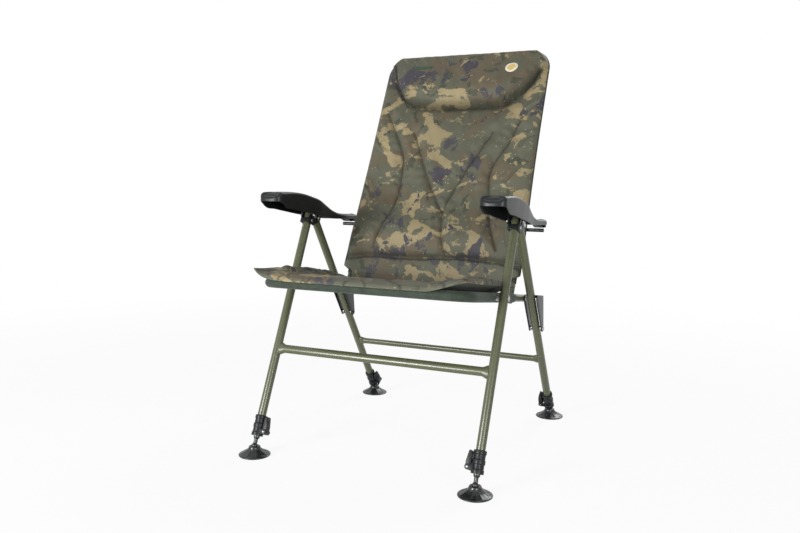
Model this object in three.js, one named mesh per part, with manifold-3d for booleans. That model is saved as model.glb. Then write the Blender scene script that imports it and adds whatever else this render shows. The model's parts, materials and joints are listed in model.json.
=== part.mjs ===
// A folding fishing chair with a padded, reclining back, in millimetres.
// The origin is on the ground under the middle of the chair: +Z is up, -Y points towards the sitter's
// feet and +X to the sitter's left.
// Two leg pairs cross under the armrests, the seat frame swings on the front legs and two straddling
// links carry its rear end on the rear legs. The back pivots on the seat frame and hangs by a pin on
// each side under the comb of the armrest.

import * as THREE from "three";
import { mergeVertices } from "three/addons/utils/BufferGeometryUtils.js";
import Module from "manifold-3d";

const wasm = await Module();
wasm.setup();

// Gaps between pieces that touch, and the overrun of every cut
const seat_gap = 0.3;
const pin_gap = 0.3;
const overrun = 1;

// Leg triangle, seen from the side
const leg_plane_x = 294;
const foot_reach = 340;
const ankle_height = 24;
const arm_pivot_ahead = 80.5;
const arm_pivot_height = 600;
const rear_pivot_ahead = 50.8;
const rear_pivot_height = 591;

// Leg tubes and crossbars
const leg_radius = 11;
const leg_wall = 1.5;
const leg_end_past_pivot = 11;
const front_bar_height = 256;
const front_bar_half_height = 11;
const front_bar_half_depth = 8.5;
const rear_bar_height = 198.5;
const rear_bar_half_height = 9;
const rear_bar_half_depth = 8;
const bar_end_inset = 3.7;

// Heights of the pivots that the seat and its links turn on
const seat_pivot_height = 420;
const link_foot_height = 300;
const link_head_height = 388;

// Bolts and pins
const bolt_radius = 4;
const bolt_head_radius = 7;
const bolt_head_thickness = 3;
const rivet_head_radius = 5;
const rivet_head_thickness = 2.2;
const recline_pin_radius = 5;
const recline_pin_reach = 308;
const lever_pin_radius = 2;

// Seat frame
const seat_rail_x = 265;
const rail_radius = 10;
const rail_wall = 1.5;
const seat_front_reach = 190;
const seat_rail_tail = 22;
const seat_corner_radius = 55;

// Back frame
const back_rail_x = 243;
const back_lean = THREE.MathUtils.degToRad(25.38);
const back_hinge_ahead = 30;
const back_rail_length = 748;
const back_rail_tail = 12;
const back_corner_radius = 66;
const back_brace_height = 48;
const back_brace_radius = 8;
const recline_pin_drop = 31;

// Top bracket on the front leg
const bracket_plate = 2.5;
const bracket_boss_radius = 11.5;
const bracket_drop = 26;
const bracket_rivet_drop = 16;
const bracket_web = 3;
const bracket_web_top_drop = 12;

// Rear links
const link_plate = 2.5;
const link_spacer = 4.5;
const link_foot_radius = 10;
const link_head_radius = 11;
const link_back_lean_share = 0.2;
const link_bridge_rise = 3;
const link_bridge_thickness = 2.5;
const link_bridge_gap = 5.5;

// Lock sleeves, their levers and the extension legs
const sleeve_height = 52;
const sleeve_radius = 14.8;
const sleeve_groove = 1.3;
const sleeve_rib = 8.5;
const sleeve_collar = 12;
const front_sleeve_rise = 25;
const rear_sleeve_rise = 14;
const lever_width = 18.2;
const lever_pivot_out = 22;
const lever_pivot_up = 12;
const lever_barrel_radius = 6;
const lever_length = 50;
const lever_thickness = 12.6;
const lever_tip_thickness = 8;
const ear_thickness = 3;
const ear_radius = 6.5;
const rod_radius = 8;
const rod_length = 230;
const stem_radius = 4.5;
const stem_top = 13;

// Mud feet
const foot_radius = 40;
const foot_rim = 3.5;
const foot_edge = 1.5;
const foot_shoulder_radius = 22;
const foot_shoulder_height = 10.5;
const foot_hub_radius = 12.8;
const foot_neck_radius = 14.5;
const foot_neck_height = 16.5;
const ball_radius = 8;
const socket_gap = 0.6;

// Armrests: reach ahead of the arm pivot and past the recline pin, and sections as shares of the
// largest sizes
const armrest_nose_reach = 195.5;
const armrest_past_pin = 38;
const armrest_half_width = 32.5;
const armrest_rise = 62.5;
const armrest_depth = 48.5;
const armrest_wall = 2.6;
const armrest_edge_radius = 7;
const armrest_shares = [
  { along: -1, half: 0.74, top: 0.83, depth: 0.25 },
  { along: -0.96, half: 0.89, top: 0.94, depth: 0.41 },
  { along: -0.82, half: 0.98, top: 0.99, depth: 0.79 },
  { along: -0.61, half: 1, top: 1, depth: 0.92 },
  { along: -0.37, half: 0.98, top: 0.95, depth: 1 },
  { along: -0.1, half: 0.93, top: 0.81, depth: 0.98 },
  { along: 0.07, half: 0.85, top: 0.69, depth: 0.93 },
  { along: 0.23, half: 0.69, top: 0.46, depth: 0.75 },
  { along: 0.385, half: 0.57, top: 0.22, depth: 0.53 },
  { along: 0.545, half: 0.52, top: 0.05, depth: 0.35 },
  { along: 0.7, half: 0.49, top: -0.02, depth: 0.29 },
  { along: 0.885, half: 0.46, top: -0.05, depth: 0.28 },
  { along: 0.975, half: 0.42, top: -0.07, depth: 0.24 },
  { along: 1, half: 0.32, top: -0.13, depth: 0.12 },
];
const lug_gap = 1.8;
const lug_thickness = 3;
const lug_radius = 10;
const lug_half_width = 7;
const bush_wall = 2.6;
const bush_flange_radius = 10;
const bush_flange = 1.2;
const rack_end_wall = 1.5;
const rack_pitch = 12;
const rack_notch_radius = 5.6;
const rack_notch_depth = 7;
const rack_notches_ahead = 2;
const rack_notches_behind = 2;
const rack_clearance = 1.1;

// Seat sling and cushions
const sling_thickness = 2.5;
const sling_half_width = 274;
const sling_sag = 26;
const sling_sag_reach = 170;
const sling_margin = 22;
const sling_hinge_gap = 50.8;
const cushion_half_width = 274;
const cushion_front = 212;
const cushion_hinge_gap = 58.8;
const cushion_thickness = 25;
const cushion_lift = 1.6;
const cushion_roll = 13;
const cushion_front_droop = 14;
const cushion_droop_length = 22;
const cushion_corner_curl = 18;
const cushion_curl_length = 110;
const cushion_edge_round = 26;
const cushion_rim_share = 0.35;
const cushion_least = 2;
const cushion_channel_pitch = 92;
const cushion_channel_depth = 5;
const cushion_channel_half_width = 13;
const cushion_tail = 72;
const back_pad_bottom = 36;
const back_pad_top = 767;
const back_pad_bottom_half_width = 266;
const back_pad_top_half_width = 256;
const back_pad_corner_radius = 62;
const back_pad_base = 15;
const back_pad_edge_round = 34;
const back_pad_crown = 6;
const back_pad_least = 2;
const fold_wedge_seat = THREE.MathUtils.degToRad(15.5);
const fold_wedge_back = THREE.MathUtils.degToRad(17);
const pillow_bottom = 575;
const pillow_swell = 17;
const lumbar_middle = 172;
const lumbar_half_height = 95;
const lumbar_swell = 11;
const roll_seam_height = 90;
const pad_seam_depth = 7;
const pad_seam_half_width = 15;
const v_seam_foot = 235;
const v_seam_rise = 330;
const v_seam_spread = 124;
const rear_panel_thickness = 2.4;
const rear_panel_set_down = 5;

// Facets
const tube_sides = 18;
const rail_sides = 14;
const small_sides = 12;
const foot_sides = 22;
const sleeve_sides = 14;
const bend_steps = 5;
const arc_steps = 4;
const socket_steps = 4;
const corner_points = 4;
const pad_columns = 18;
const sling_rows = 16;
const seat_pad_rows = 26;
const back_pad_rows = 30;

// Materials, shared by the pieces of one finish
function finish(color, roughness, metalness) {
  return new THREE.MeshStandardMaterial({ color, roughness, metalness });
}
const green_paint = finish(0x5f6147, 0.42, 0.35);
const black_plastic = finish(0x1f2425, 0.5, 0);
const zinc = finish(0x8d8f8c, 0.38, 0.85);
const camo_fabric = finish(0x6a6551, 0.9, 0);
const dark_fabric = finish(0x27342a, 0.92, 0);

const chair = new THREE.Group();

function piece(name, geometry, material, parent = chair) {
  const mesh = new THREE.Mesh(geometry, material.clone());
  mesh.name = name;
  parent.add(mesh);
  return mesh;
}

// Solids for cutting and joining
function toSolid(geometry) {
  const bare = geometry.clone();
  bare.deleteAttribute("normal");
  bare.deleteAttribute("uv");
  const merged = mergeVertices(bare);
  return new wasm.Manifold(
    new wasm.Mesh({
      numProp: 3,
      vertProperties: new Float32Array(merged.attributes.position.array),
      triVerts: new Uint32Array(merged.index.array),
    })
  );
}

function toGeometry(solid) {
  const mesh = solid.getMesh();
  const geometry = new THREE.BufferGeometry();
  geometry.setAttribute("position", new THREE.BufferAttribute(new Float32Array(mesh.vertProperties), 3));
  geometry.setIndex(new THREE.BufferAttribute(new Uint32Array(mesh.triVerts), 1));
  return geometry;
}

function cut(body, ...tools) {
  return toGeometry(tools.reduce((left, tool) => left.subtract(toSolid(tool)), toSolid(body)));
}

function join(...bodies) {
  return toGeometry(bodies.map(toSolid).reduce((sum, next) => sum.add(next)));
}

function common(body, mould) {
  return toGeometry(toSolid(body).intersect(toSolid(mould)));
}

// Turned solid: the profile holds [radius, height] pairs, bottom to top outside, and turns about Z
function turned(profile, sides) {
  const points = profile.map(([radius, height]) => new THREE.Vector2(radius, height));
  return new THREE.LatheGeometry(points, sides).rotateX(Math.PI / 2);
}

// The same, turned about X
function turnedAlongX(profile, sides) {
  return turned(profile, sides).rotateY(Math.PI / 2);
}

function rod(radius, from, to, sides = small_sides) {
  return turned([[0, from], [radius, from], [radius, to], [0, to]], sides);
}

function rodAlongX(radius, from, to, sides = small_sides) {
  return turnedAlongX([[0, from], [radius, from], [radius, to], [0, to]], sides);
}

function tube(radius, wall, from, to, sides = tube_sides) {
  const bore = radius - wall;
  return turned([[bore, from], [radius, from], [radius, to], [bore, to], [bore, from]], sides);
}

function block(from, to) {
  const size = to.map((value, i) => value - from[i]);
  const middle = to.map((value, i) => (value + from[i]) / 2);
  return new THREE.BoxGeometry(...size).translate(...middle);
}

function plateOf(shape, depth) {
  return new THREE.ExtrudeGeometry(shape, { depth, bevelEnabled: false, curveSegments: arc_steps });
}

// Plate cut from an outline in the side plane, [y, z], and as wide as x from one value to another
function sidePlate(shape, from, to) {
  const plate = plateOf(shape, to - from);
  const across = new THREE.Matrix4().makeBasis(
    new THREE.Vector3(0, 1, 0), new THREE.Vector3(0, 0, 1), new THREE.Vector3(1, 0, 0)
  );
  return plate.applyMatrix4(across).translate(from, 0, 0);
}

// Centre line with round corners; its samples stand where the line bends
class BentLine extends THREE.Curve {
  constructor(corners, radius) {
    super();
    this.stations = [corners[0]];
    for (let i = 1; i < corners.length - 1; i += 1) {
      const into = corners[i].clone().sub(corners[i - 1]).normalize();
      const away = corners[i + 1].clone().sub(corners[i]).normalize();
      const half = into.angleTo(away) / 2;
      const start = corners[i].clone().addScaledVector(into, -radius * Math.tan(half));
      const side = away.clone().addScaledVector(into, -away.dot(into)).normalize();
      for (let step = 0; step <= bend_steps; step += 1) {
        const turn = (2 * half * step) / bend_steps;
        const station = start.clone().addScaledVector(into, radius * Math.sin(turn));
        this.stations.push(station.addScaledVector(side, radius * (1 - Math.cos(turn))));
      }
    }
    this.stations.push(corners[corners.length - 1]);
  }

  get steps() {
    return this.stations.length - 1;
  }

  getPoint(t) {
    const place = t * this.steps;
    const index = Math.min(Math.floor(place), this.steps - 1);
    return this.stations[index].clone().lerp(this.stations[index + 1], place - index);
  }

  getUtoTmapping(u) {
    return u;
  }
}

function bentTube(corners, bendRadius, radius, wall) {
  const line = new BentLine(corners, bendRadius);
  const ring = new THREE.Shape().absarc(0, 0, radius, 0, 2 * Math.PI);
  ring.holes.push(new THREE.Path().absarc(0, 0, radius - wall, 0, 2 * Math.PI, true));
  return new THREE.ExtrudeGeometry(ring, {
    steps: line.steps, extrudePath: line, bevelEnabled: false, curveSegments: rail_sides / 2,
  });
}

// Groups that carry a leg's or the back's own axes
function legGroup(side, ankleY, lean) {
  const group = new THREE.Group();
  group.position.set(side * leg_plane_x, ankleY, ankle_height);
  group.rotation.x = lean;
  chair.add(group);
  return group;
}

function leanTo(ankleY, pivot) {
  return Math.atan2(ankleY - pivot.y, pivot.z - ankle_height);
}

function alongLeg(lean, height) {
  return (height - ankle_height) / Math.cos(lean);
}

function onLeg(ankleY, lean, height) {
  return { y: ankleY - (height - ankle_height) * Math.tan(lean), z: height };
}

function inFrame(point, origin, lean) {
  const dy = point.y - origin.y;
  const dz = point.z - origin.z;
  return { y: dy * Math.cos(lean) + dz * Math.sin(lean), z: dz * Math.cos(lean) - dy * Math.sin(lean) };
}

const arm_pivot = { y: -arm_pivot_ahead, z: arm_pivot_height };
const rear_pivot = { y: -rear_pivot_ahead, z: rear_pivot_height };
const front_lean = leanTo(-foot_reach, arm_pivot);
const rear_lean = leanTo(foot_reach, rear_pivot);
const front_ankle = { y: -foot_reach, z: ankle_height };
const front_leg_length = alongLeg(front_lean, arm_pivot.z);
const rear_leg_length = alongLeg(rear_lean, rear_pivot.z);
const seat_pivot = onLeg(-foot_reach, front_lean, seat_pivot_height);
const link_head = onLeg(foot_reach, rear_lean, link_head_height);
const link_foot = onLeg(foot_reach, rear_lean, link_foot_height);
const seat_lean = Math.atan2(link_head.z - seat_pivot.z, link_head.y - seat_pivot.y);
const link_head_reach = Math.hypot(link_head.y - seat_pivot.y, link_head.z - seat_pivot.z);
const back_hinge_reach = link_head_reach - back_hinge_ahead;
const back_hinge = {
  y: seat_pivot.y + back_hinge_reach * Math.cos(seat_lean),
  z: seat_pivot.z + back_hinge_reach * Math.sin(seat_lean),
};
const seat_rear_reach = link_head_reach + seat_rail_tail;
const cushion_rear = back_hinge_reach - cushion_hinge_gap;
const sling_rear = back_hinge_reach - sling_hinge_gap;
const recline_pin_height = arm_pivot.z - recline_pin_drop;
const recline_pin_rise = (recline_pin_height - back_hinge.z) / Math.cos(back_lean);
const recline_pin = {
  y: back_hinge.y + recline_pin_rise * Math.sin(back_lean), z: recline_pin_height,
};
const armrest_tail_reach = recline_pin.y - arm_pivot.y + armrest_past_pin;
const armrest_sections = armrest_shares.map(({ along, half, top, depth }) => {
  const crown = arm_pivot.z + top * armrest_rise;
  return {
    y: arm_pivot.y + along * (along < 0 ? armrest_nose_reach : armrest_tail_reach),
    half: half * armrest_half_width,
    top: crown,
    under: crown - depth * armrest_depth,
  };
});
const bracket_outer = leg_radius + seat_gap + bracket_plate;
const link_inner = leg_radius + seat_gap + link_spacer;
const link_outer = link_inner + link_plate;

// Bolt along X: a shank with a head outside each of the two faces it clamps, and collars between
function bolt(radius, headRadius, headThickness, low, high, collars = []) {
  const bottom = low - headThickness;
  const top = high + headThickness;
  const profile = [[0, bottom], [headRadius, bottom], [headRadius, low], [radius, low]];
  for (const [from, to] of collars) {
    profile.push([radius, from], [headRadius, from], [headRadius, to], [radius, to]);
  }
  profile.push([radius, high], [headRadius, high], [headRadius, top], [0, top]);
  return turnedAlongX(profile, small_sides);
}

function at(mesh, x, point) {
  mesh.position.set(x, point.y, point.z);
  return mesh;
}

const sides = [["left", 1], ["right", -1]];

function frontLegs() {
  for (const [word, side] of sides) {
    const group = legGroup(side, -foot_reach, front_lean);
    const low = front_sleeve_rise + sleeve_collar + seat_gap;
    const seat_hole = alongLeg(front_lean, seat_pivot_height);
    const holes = [front_leg_length, front_leg_length - bracket_rivet_drop, seat_hole];
    const drilled = holes.map((height) =>
      rodAlongX(bolt_radius + pin_gap, -leg_radius - overrun, leg_radius + overrun).translate(0, 0, height)
    );
    const body = tube(leg_radius, leg_wall, low, front_leg_length + leg_end_past_pivot);
    piece(`front_leg_${word}`, cut(body, ...drilled), green_paint, group);
    legEnd(`front_${word}`, group, side, front_sleeve_rise);
    topBracket(word, group);
  }
}

function rearLegs() {
  for (const [word, side] of sides) {
    const group = legGroup(side, foot_reach, rear_lean);
    const low = rear_sleeve_rise + sleeve_collar + seat_gap;
    const holes = [rear_leg_length, alongLeg(rear_lean, link_foot_height)];
    const drilled = holes.map((height) =>
      rodAlongX(bolt_radius + pin_gap, -leg_radius - overrun, leg_radius + overrun).translate(0, 0, height)
    );
    const rounded = new THREE.Shape();
    rounded.moveTo(-leg_radius - overrun, low - overrun);
    rounded.lineTo(leg_radius + overrun, low - overrun);
    rounded.lineTo(leg_radius + overrun, rear_leg_length);
    rounded.lineTo(leg_radius, rear_leg_length);
    rounded.absarc(0, rear_leg_length, leg_radius, 0, Math.PI);
    rounded.lineTo(-leg_radius - overrun, rear_leg_length);
    const body = tube(leg_radius, leg_wall, low, rear_leg_length + leg_radius);
    const mould = sidePlate(rounded, -leg_radius - overrun, leg_radius + overrun);
    piece(`rear_leg_${word}`, cut(common(body, mould), ...drilled), green_paint, group);
    legEnd(`rear_${word}`, group, side, rear_sleeve_rise);
  }
}

// Everything at the foot of a leg: rod, ball, mud foot, lock sleeve and lever
function legEnd(word, leg, side, rise) {
  piece(`extension_leg_${word}`, extensionLeg(), green_paint, leg);
  const ball = new THREE.SphereGeometry(ball_radius, small_sides, small_sides / 2);
  piece(`foot_ball_${word}`, ball, black_plastic, leg);
  const foot = piece(`mud_foot_${word}`, mudFoot(), black_plastic, chair);
  foot.position.set(leg.position.x, leg.position.y, 0);
  const lock = new THREE.Group();
  lock.position.z = rise;
  lock.rotation.z = side > 0 ? Math.PI : 0;
  leg.add(lock);
  piece(`lock_sleeve_${word}`, lockSleeve(), black_plastic, lock);
  piece(`lock_lever_${word}`, lockLever(), black_plastic, lock);
  piece(`lever_pin_${word}`, leverPin(), zinc, lock);
}

function extensionLeg() {
  const socket = ball_radius + socket_gap;
  const shoulder = Math.sqrt(socket ** 2 - stem_radius ** 2);
  return turned(
    [[0, socket], [stem_radius, shoulder], [stem_radius, stem_top], [rod_radius, stem_top],
      [rod_radius, rod_length], [0, rod_length]],
    small_sides
  );
}

function mudFoot() {
  const socket = ball_radius + socket_gap;
  const profile = [
    [0, 0], [foot_radius - foot_edge, 0], [foot_radius, foot_edge], [foot_radius, foot_rim],
    [foot_shoulder_radius, foot_shoulder_height], [foot_neck_radius, foot_neck_height],
    [foot_hub_radius, ankle_height],
  ];
  for (let step = 0; step <= socket_steps; step += 1) {
    const turn = (step / socket_steps) * (Math.PI / 2);
    profile.push([socket * Math.cos(turn), ankle_height - socket * Math.sin(turn)]);
  }
  profile[profile.length - 1][0] = 0;
  return turned(profile, foot_sides);
}

function lockSleeve() {
  const groove = sleeve_radius - sleeve_groove;
  const slot = (sleeve_height - 3 * sleeve_rib) / 2;
  const bore = leg_radius + seat_gap;
  const small_bore = rod_radius + seat_gap;
  const profile = [[small_bore, 0], [sleeve_radius, 0]];
  for (let rib = 0; rib < 2; rib += 1) {
    const top = sleeve_rib + rib * (sleeve_rib + slot);
    profile.push([sleeve_radius, top], [groove, top + sleeve_groove]);
    profile.push([groove, top + slot - sleeve_groove], [sleeve_radius, top + slot]);
  }
  profile.push([sleeve_radius, sleeve_height], [bore, sleeve_height], [bore, sleeve_collar]);
  profile.push([small_bore, sleeve_collar], [small_bore, 0]);
  const near = lever_width / 2 + seat_gap;
  const root = Math.sqrt(sleeve_radius ** 2 - (near + ear_thickness) ** 2) - sleeve_groove;
  const ears = [near, -near - ear_thickness].map((y) => {
    const plate = new THREE.Shape();
    plate.moveTo(root, lever_pivot_up - ear_radius);
    plate.lineTo(lever_pivot_out, lever_pivot_up - ear_radius);
    plate.absarc(lever_pivot_out, lever_pivot_up, ear_radius, -Math.PI / 2, Math.PI / 2);
    plate.lineTo(root, lever_pivot_up + ear_radius);
    return frontPlate(plate, y, y + ear_thickness);
  });
  const hole = pinAlongY(lever_pin_radius + pin_gap, near + ear_thickness + overrun);
  return cut(join(turned(profile, sleeve_sides), ...ears), hole);
}

// Plate cut from an outline across the leg, [x, z], between two values of y
function frontPlate(shape, from, to) {
  return plateOf(shape, to - from).rotateX(Math.PI / 2).translate(0, to, 0);
}

function pinAlongY(radius, half) {
  return rod(radius, -half, half).rotateX(Math.PI / 2).translate(lever_pivot_out, 0, lever_pivot_up);
}

function lockLever() {
  const inner = sleeve_radius + 2 * seat_gap;
  const shape = new THREE.Shape();
  shape.moveTo(inner, lever_pivot_up);
  shape.absarc(lever_pivot_out, lever_pivot_up, lever_barrel_radius, Math.PI, 2 * Math.PI);
  shape.lineTo(inner + lever_thickness, lever_length / 2);
  shape.lineTo(inner + lever_tip_thickness, lever_length);
  shape.lineTo(inner + lever_tip_thickness / 2, lever_length);
  shape.lineTo(inner, lever_length - lever_tip_thickness / 2);
  const body = frontPlate(shape, -lever_width / 2, lever_width / 2);
  return cut(body, pinAlongY(lever_pin_radius + pin_gap, lever_width));
}

function leverPin() {
  return pinAlongY(lever_pin_radius, lever_width / 2 + seat_gap + ear_thickness);
}

function crossbars() {
  const bars = [
    ["front", -foot_reach, front_lean, front_bar_height, front_bar_half_height, front_bar_half_depth],
    ["rear", foot_reach, rear_lean, rear_bar_height, rear_bar_half_height, rear_bar_half_depth],
  ];
  for (const [end, ankleY, lean, height, halfHeight, halfDepth] of bars) {
    const oval = new THREE.Shape().absellipse(0, 0, halfDepth, halfHeight, 0, 2 * Math.PI);
    oval.holes.push(
      new THREE.Path().absellipse(0, 0, halfDepth - leg_wall, halfHeight - leg_wall, 0, 2 * Math.PI, true)
    );
    const reach = leg_plane_x - bar_end_inset;
    const mouth = leg_radius + seat_gap;
    const mouths = sides.map(([, side]) =>
      rod(mouth, -2 * halfHeight, 2 * halfHeight, tube_sides).translate(side * leg_plane_x, 0, 0)
    );
    const group = new THREE.Group();
    const place = onLeg(ankleY, lean, height);
    group.position.set(0, place.y, place.z);
    group.rotation.x = lean;
    chair.add(group);
    piece(`${end}_crossbar`, cut(sidePlate(oval, -reach, reach), ...mouths), green_paint, group);
  }
}

// Bracket in the front leg's own frame: two cheeks and a web in front of the tube
function topBracket(word, leg) {
  const pivot = inFrame(rear_pivot, front_ankle, front_lean);
  const front = leg_radius + seat_gap + bracket_web;
  const top = front_leg_length;
  const rise = Math.atan2(pivot.z - top, pivot.y) + Math.PI / 2;
  const shape = new THREE.Shape();
  shape.moveTo(-front, top - bracket_drop);
  shape.lineTo(-front, top - bracket_web_top_drop);
  shape.lineTo(-bracket_boss_radius, top);
  shape.absarc(0, top, bracket_boss_radius, Math.PI, rise, true);
  shape.absarc(pivot.y, pivot.z, bracket_boss_radius, rise, -Math.PI / 3, true);
  shape.lineTo(leg_radius, top - bracket_drop);
  const slot = leg_radius + seat_gap;
  const above = top + 2 * bracket_boss_radius;
  const opening = block([-slot, -slot, top - bracket_drop - overrun], [slot, 2 * pivot.y, above]);
  const overWeb = block([-slot, -front - overrun, top - bracket_web_top_drop], [slot, 0, above]);
  const places = [[0, top], [0, top - bracket_rivet_drop], [pivot.y, pivot.z]];
  const holes = places.map(([y, z]) =>
    rodAlongX(bolt_radius + pin_gap, -bracket_outer - overrun, bracket_outer + overrun).translate(0, y, z)
  );
  const body = sidePlate(shape, -bracket_outer, bracket_outer);
  piece(`top_bracket_${word}`, cut(body, opening, overWeb, ...holes), black_plastic, leg);
  const face = bracket_outer + seat_gap;
  const rivet = piece(
    `bracket_rivet_${word}`,
    bolt(bolt_radius, rivet_head_radius, rivet_head_thickness, -face, face), zinc, leg
  );
  rivet.position.z = top - bracket_rivet_drop;
}

function pivotBolts() {
  const cheek = bracket_outer + seat_gap;
  const lug = bracket_outer + lug_gap + lug_thickness + 2 * seat_gap;
  for (const [word, side] of sides) {
    const x = side * leg_plane_x;
    const armBolt = bolt(bolt_radius, bolt_head_radius, bolt_head_thickness, -lug, lug + bush_flange);
    at(piece(`arm_pivot_bolt_${word}`, side > 0 ? armBolt : armBolt.rotateZ(Math.PI), zinc), x, arm_pivot);
    const rearBolt = bolt(bolt_radius, bolt_head_radius, bolt_head_thickness, -cheek, cheek);
    at(piece(`rear_pivot_bolt_${word}`, rearBolt, zinc), x, rear_pivot);
    const gap = leg_plane_x - leg_radius - seat_rail_x - rail_radius;
    const seatBolt = bolt(
      bolt_radius, bolt_head_radius, bolt_head_thickness,
      -(leg_plane_x - seat_rail_x) - rail_radius - seat_gap, leg_radius + seat_gap,
      [[-leg_radius - gap + seat_gap, -leg_radius - seat_gap]]
    );
    const turnedBolt = side > 0 ? seatBolt : seatBolt.rotateZ(Math.PI);
    at(piece(`seat_pivot_bolt_${word}`, turnedBolt, zinc), x, seat_pivot);
  }
}

function rearLinks() {
  const head = { y: link_head.y - link_foot.y, z: link_head.z - link_foot.z };
  const bridge = head.z + link_bridge_rise;
  const shape = new THREE.Shape();
  const lean = Math.atan2(head.z, head.y);
  shape.moveTo(link_foot_radius, 0);
  shape.lineTo(link_foot_radius + head.y * link_back_lean_share, bridge);
  shape.lineTo(head.y, head.z + link_head_radius);
  shape.absarc(head.y, head.z, link_head_radius, Math.PI / 2, lean + Math.PI / 2);
  shape.absarc(0, 0, link_foot_radius, lean + Math.PI / 2, 2 * Math.PI);
  const inside = block(
    [-link_inner, head.y - 2 * link_head_radius, -2 * link_foot_radius],
    [link_inner, 2 * link_foot_radius, bridge - link_bridge_thickness]
  );
  const ahead = block(
    [-link_inner, head.y - 2 * link_head_radius, 0],
    [link_inner, head.y + link_head_radius + link_bridge_gap, 2 * bridge]
  );
  const hole = bolt_radius + pin_gap;
  const past = link_outer + overrun;
  const footHole = rodAlongX(hole, -past, past);
  for (const [word, side] of sides) {
    const headHole = rodAlongX(hole, side > 0 ? -past : 0, side > 0 ? 0 : past);
    headHole.translate(0, head.y, head.z);
    const body = cut(sidePlate(shape, -link_outer, link_outer), inside, ahead, footHole, headHole);
    at(piece(`rear_link_${word}`, body, black_plastic), side * leg_plane_x, link_foot);
    at(piece(`link_lower_pin_${word}`, linkLowerPin(side), zinc), side * leg_plane_x, link_foot);
    at(piece(`link_upper_pin_${word}`, linkUpperPin(side), zinc), side * leg_plane_x, link_head);
  }
}

function linkLowerPin(side) {
  const flush = link_outer;
  const profile = [[0, -flush], [bolt_radius, -flush]];
  const near = leg_radius + seat_gap;
  const far = link_inner - seat_gap;
  for (const [from, to] of [[-far, -near], [near, far]]) {
    profile.push([bolt_radius, from], [bolt_head_radius, from], [bolt_head_radius, to], [bolt_radius, to]);
  }
  const head = link_outer + seat_gap;
  const end = head + bolt_head_thickness;
  profile.push([bolt_radius, head], [bolt_head_radius, head], [bolt_head_radius, end], [0, end]);
  const pin = turnedAlongX(profile, small_sides);
  return side > 0 ? pin : pin.rotateZ(Math.PI);
}

function linkUpperPin(side) {
  const reach = leg_plane_x - seat_rail_x - rail_radius - seat_gap;
  const head = link_inner - seat_gap;
  const profile = [
    [0, -reach], [bolt_radius, -reach], [bolt_radius, -head], [bolt_head_radius, -head],
    [bolt_head_radius, -head + bolt_head_thickness], [0, -head + bolt_head_thickness],
  ];
  const pin = turnedAlongX(profile, small_sides);
  return side > 0 ? pin : pin.rotateZ(Math.PI);
}

// Seat: a group whose Y runs back along the rails from the pivot on the front legs
function seat() {
  const group = new THREE.Group();
  group.position.set(0, seat_pivot.y, seat_pivot.z);
  group.rotation.x = seat_lean;
  chair.add(group);
  const rear = seat_rear_reach;
  const corners = [
    [-seat_rail_x, rear], [-seat_rail_x, -seat_front_reach],
    [seat_rail_x, -seat_front_reach], [seat_rail_x, rear],
  ].map(([x, y]) => new THREE.Vector3(x, y, 0));
  const hoop = bentTube(corners, seat_corner_radius, rail_radius, rail_wall);
  const bore = rod(rail_radius - rail_wall / 2, -rear, 2 * rail_radius, rail_sides).rotateX(-Math.PI / 2);
  const bores = sides.map(([, side]) => bore.clone().translate(side * seat_rail_x, rear - rail_radius, 0));
  const bar = rodAlongX(rail_radius, -seat_rail_x, seat_rail_x, rail_sides);
  const frame = join(hoop, cut(bar.translate(0, rear - 2 * rail_radius, 0), ...bores));
  const holes = sides.flatMap(([, side]) => [0, back_hinge_reach].map((y) =>
    rodAlongX(bolt_radius + pin_gap, -2 * rail_radius, 2 * rail_radius).translate(side * seat_rail_x, y, 0)
  ));
  piece("seat_frame", cut(frame, ...holes), green_paint, group);
  piece("seat_sling", seatSling(), dark_fabric, group);
  piece("seat_cushion", seatCushion(), camo_fabric, group);
}

// Closed skin between two surfaces over one grid; both meet along the rim
function skin(columns, rows, place, upper, lower) {
  const positions = [];
  const upperIds = [];
  const lowerIds = [];
  for (let row = 0; row <= rows; row += 1) {
    for (let column = 0; column <= columns; column += 1) {
      const spot = place(column / columns, row / rows);
      const rim = row === 0 || row === rows || column === 0 || column === columns;
      upperIds.push(positions.length / 3);
      positions.push(spot.x, spot.y, rim ? (upper(spot) + lower(spot)) / 2 : upper(spot));
      if (rim) {
        lowerIds.push(upperIds[upperIds.length - 1]);
      } else {
        lowerIds.push(positions.length / 3);
        positions.push(spot.x, spot.y, lower(spot));
      }
    }
  }
  const index = [];
  for (let row = 0; row < rows; row += 1) {
    for (let column = 0; column < columns; column += 1) {
      const a = row * (columns + 1) + column;
      const [b, c, d] = [a + 1, a + columns + 2, a + columns + 1];
      index.push(upperIds[a], upperIds[b], upperIds[c], upperIds[a], upperIds[c], upperIds[d]);
      index.push(lowerIds[a], lowerIds[c], lowerIds[b], lowerIds[a], lowerIds[d], lowerIds[c]);
    }
  }
  const geometry = new THREE.BufferGeometry();
  geometry.setAttribute("position", new THREE.Float32BufferAttribute(positions, 3));
  geometry.setIndex(index);
  return geometry;
}

// How far an edge has rounded over, from 0 on the rim to 1 inside it
function rounded(distance, radius) {
  const share = Math.min(Math.max(distance / radius, 0), 1);
  return Math.sqrt(1 - (1 - share) ** 2);
}

// A sewn line: 1 on it, fading to 0 at its half width
function seam(distance, halfWidth) {
  return Math.exp(-((distance / halfWidth) ** 2));
}

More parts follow.
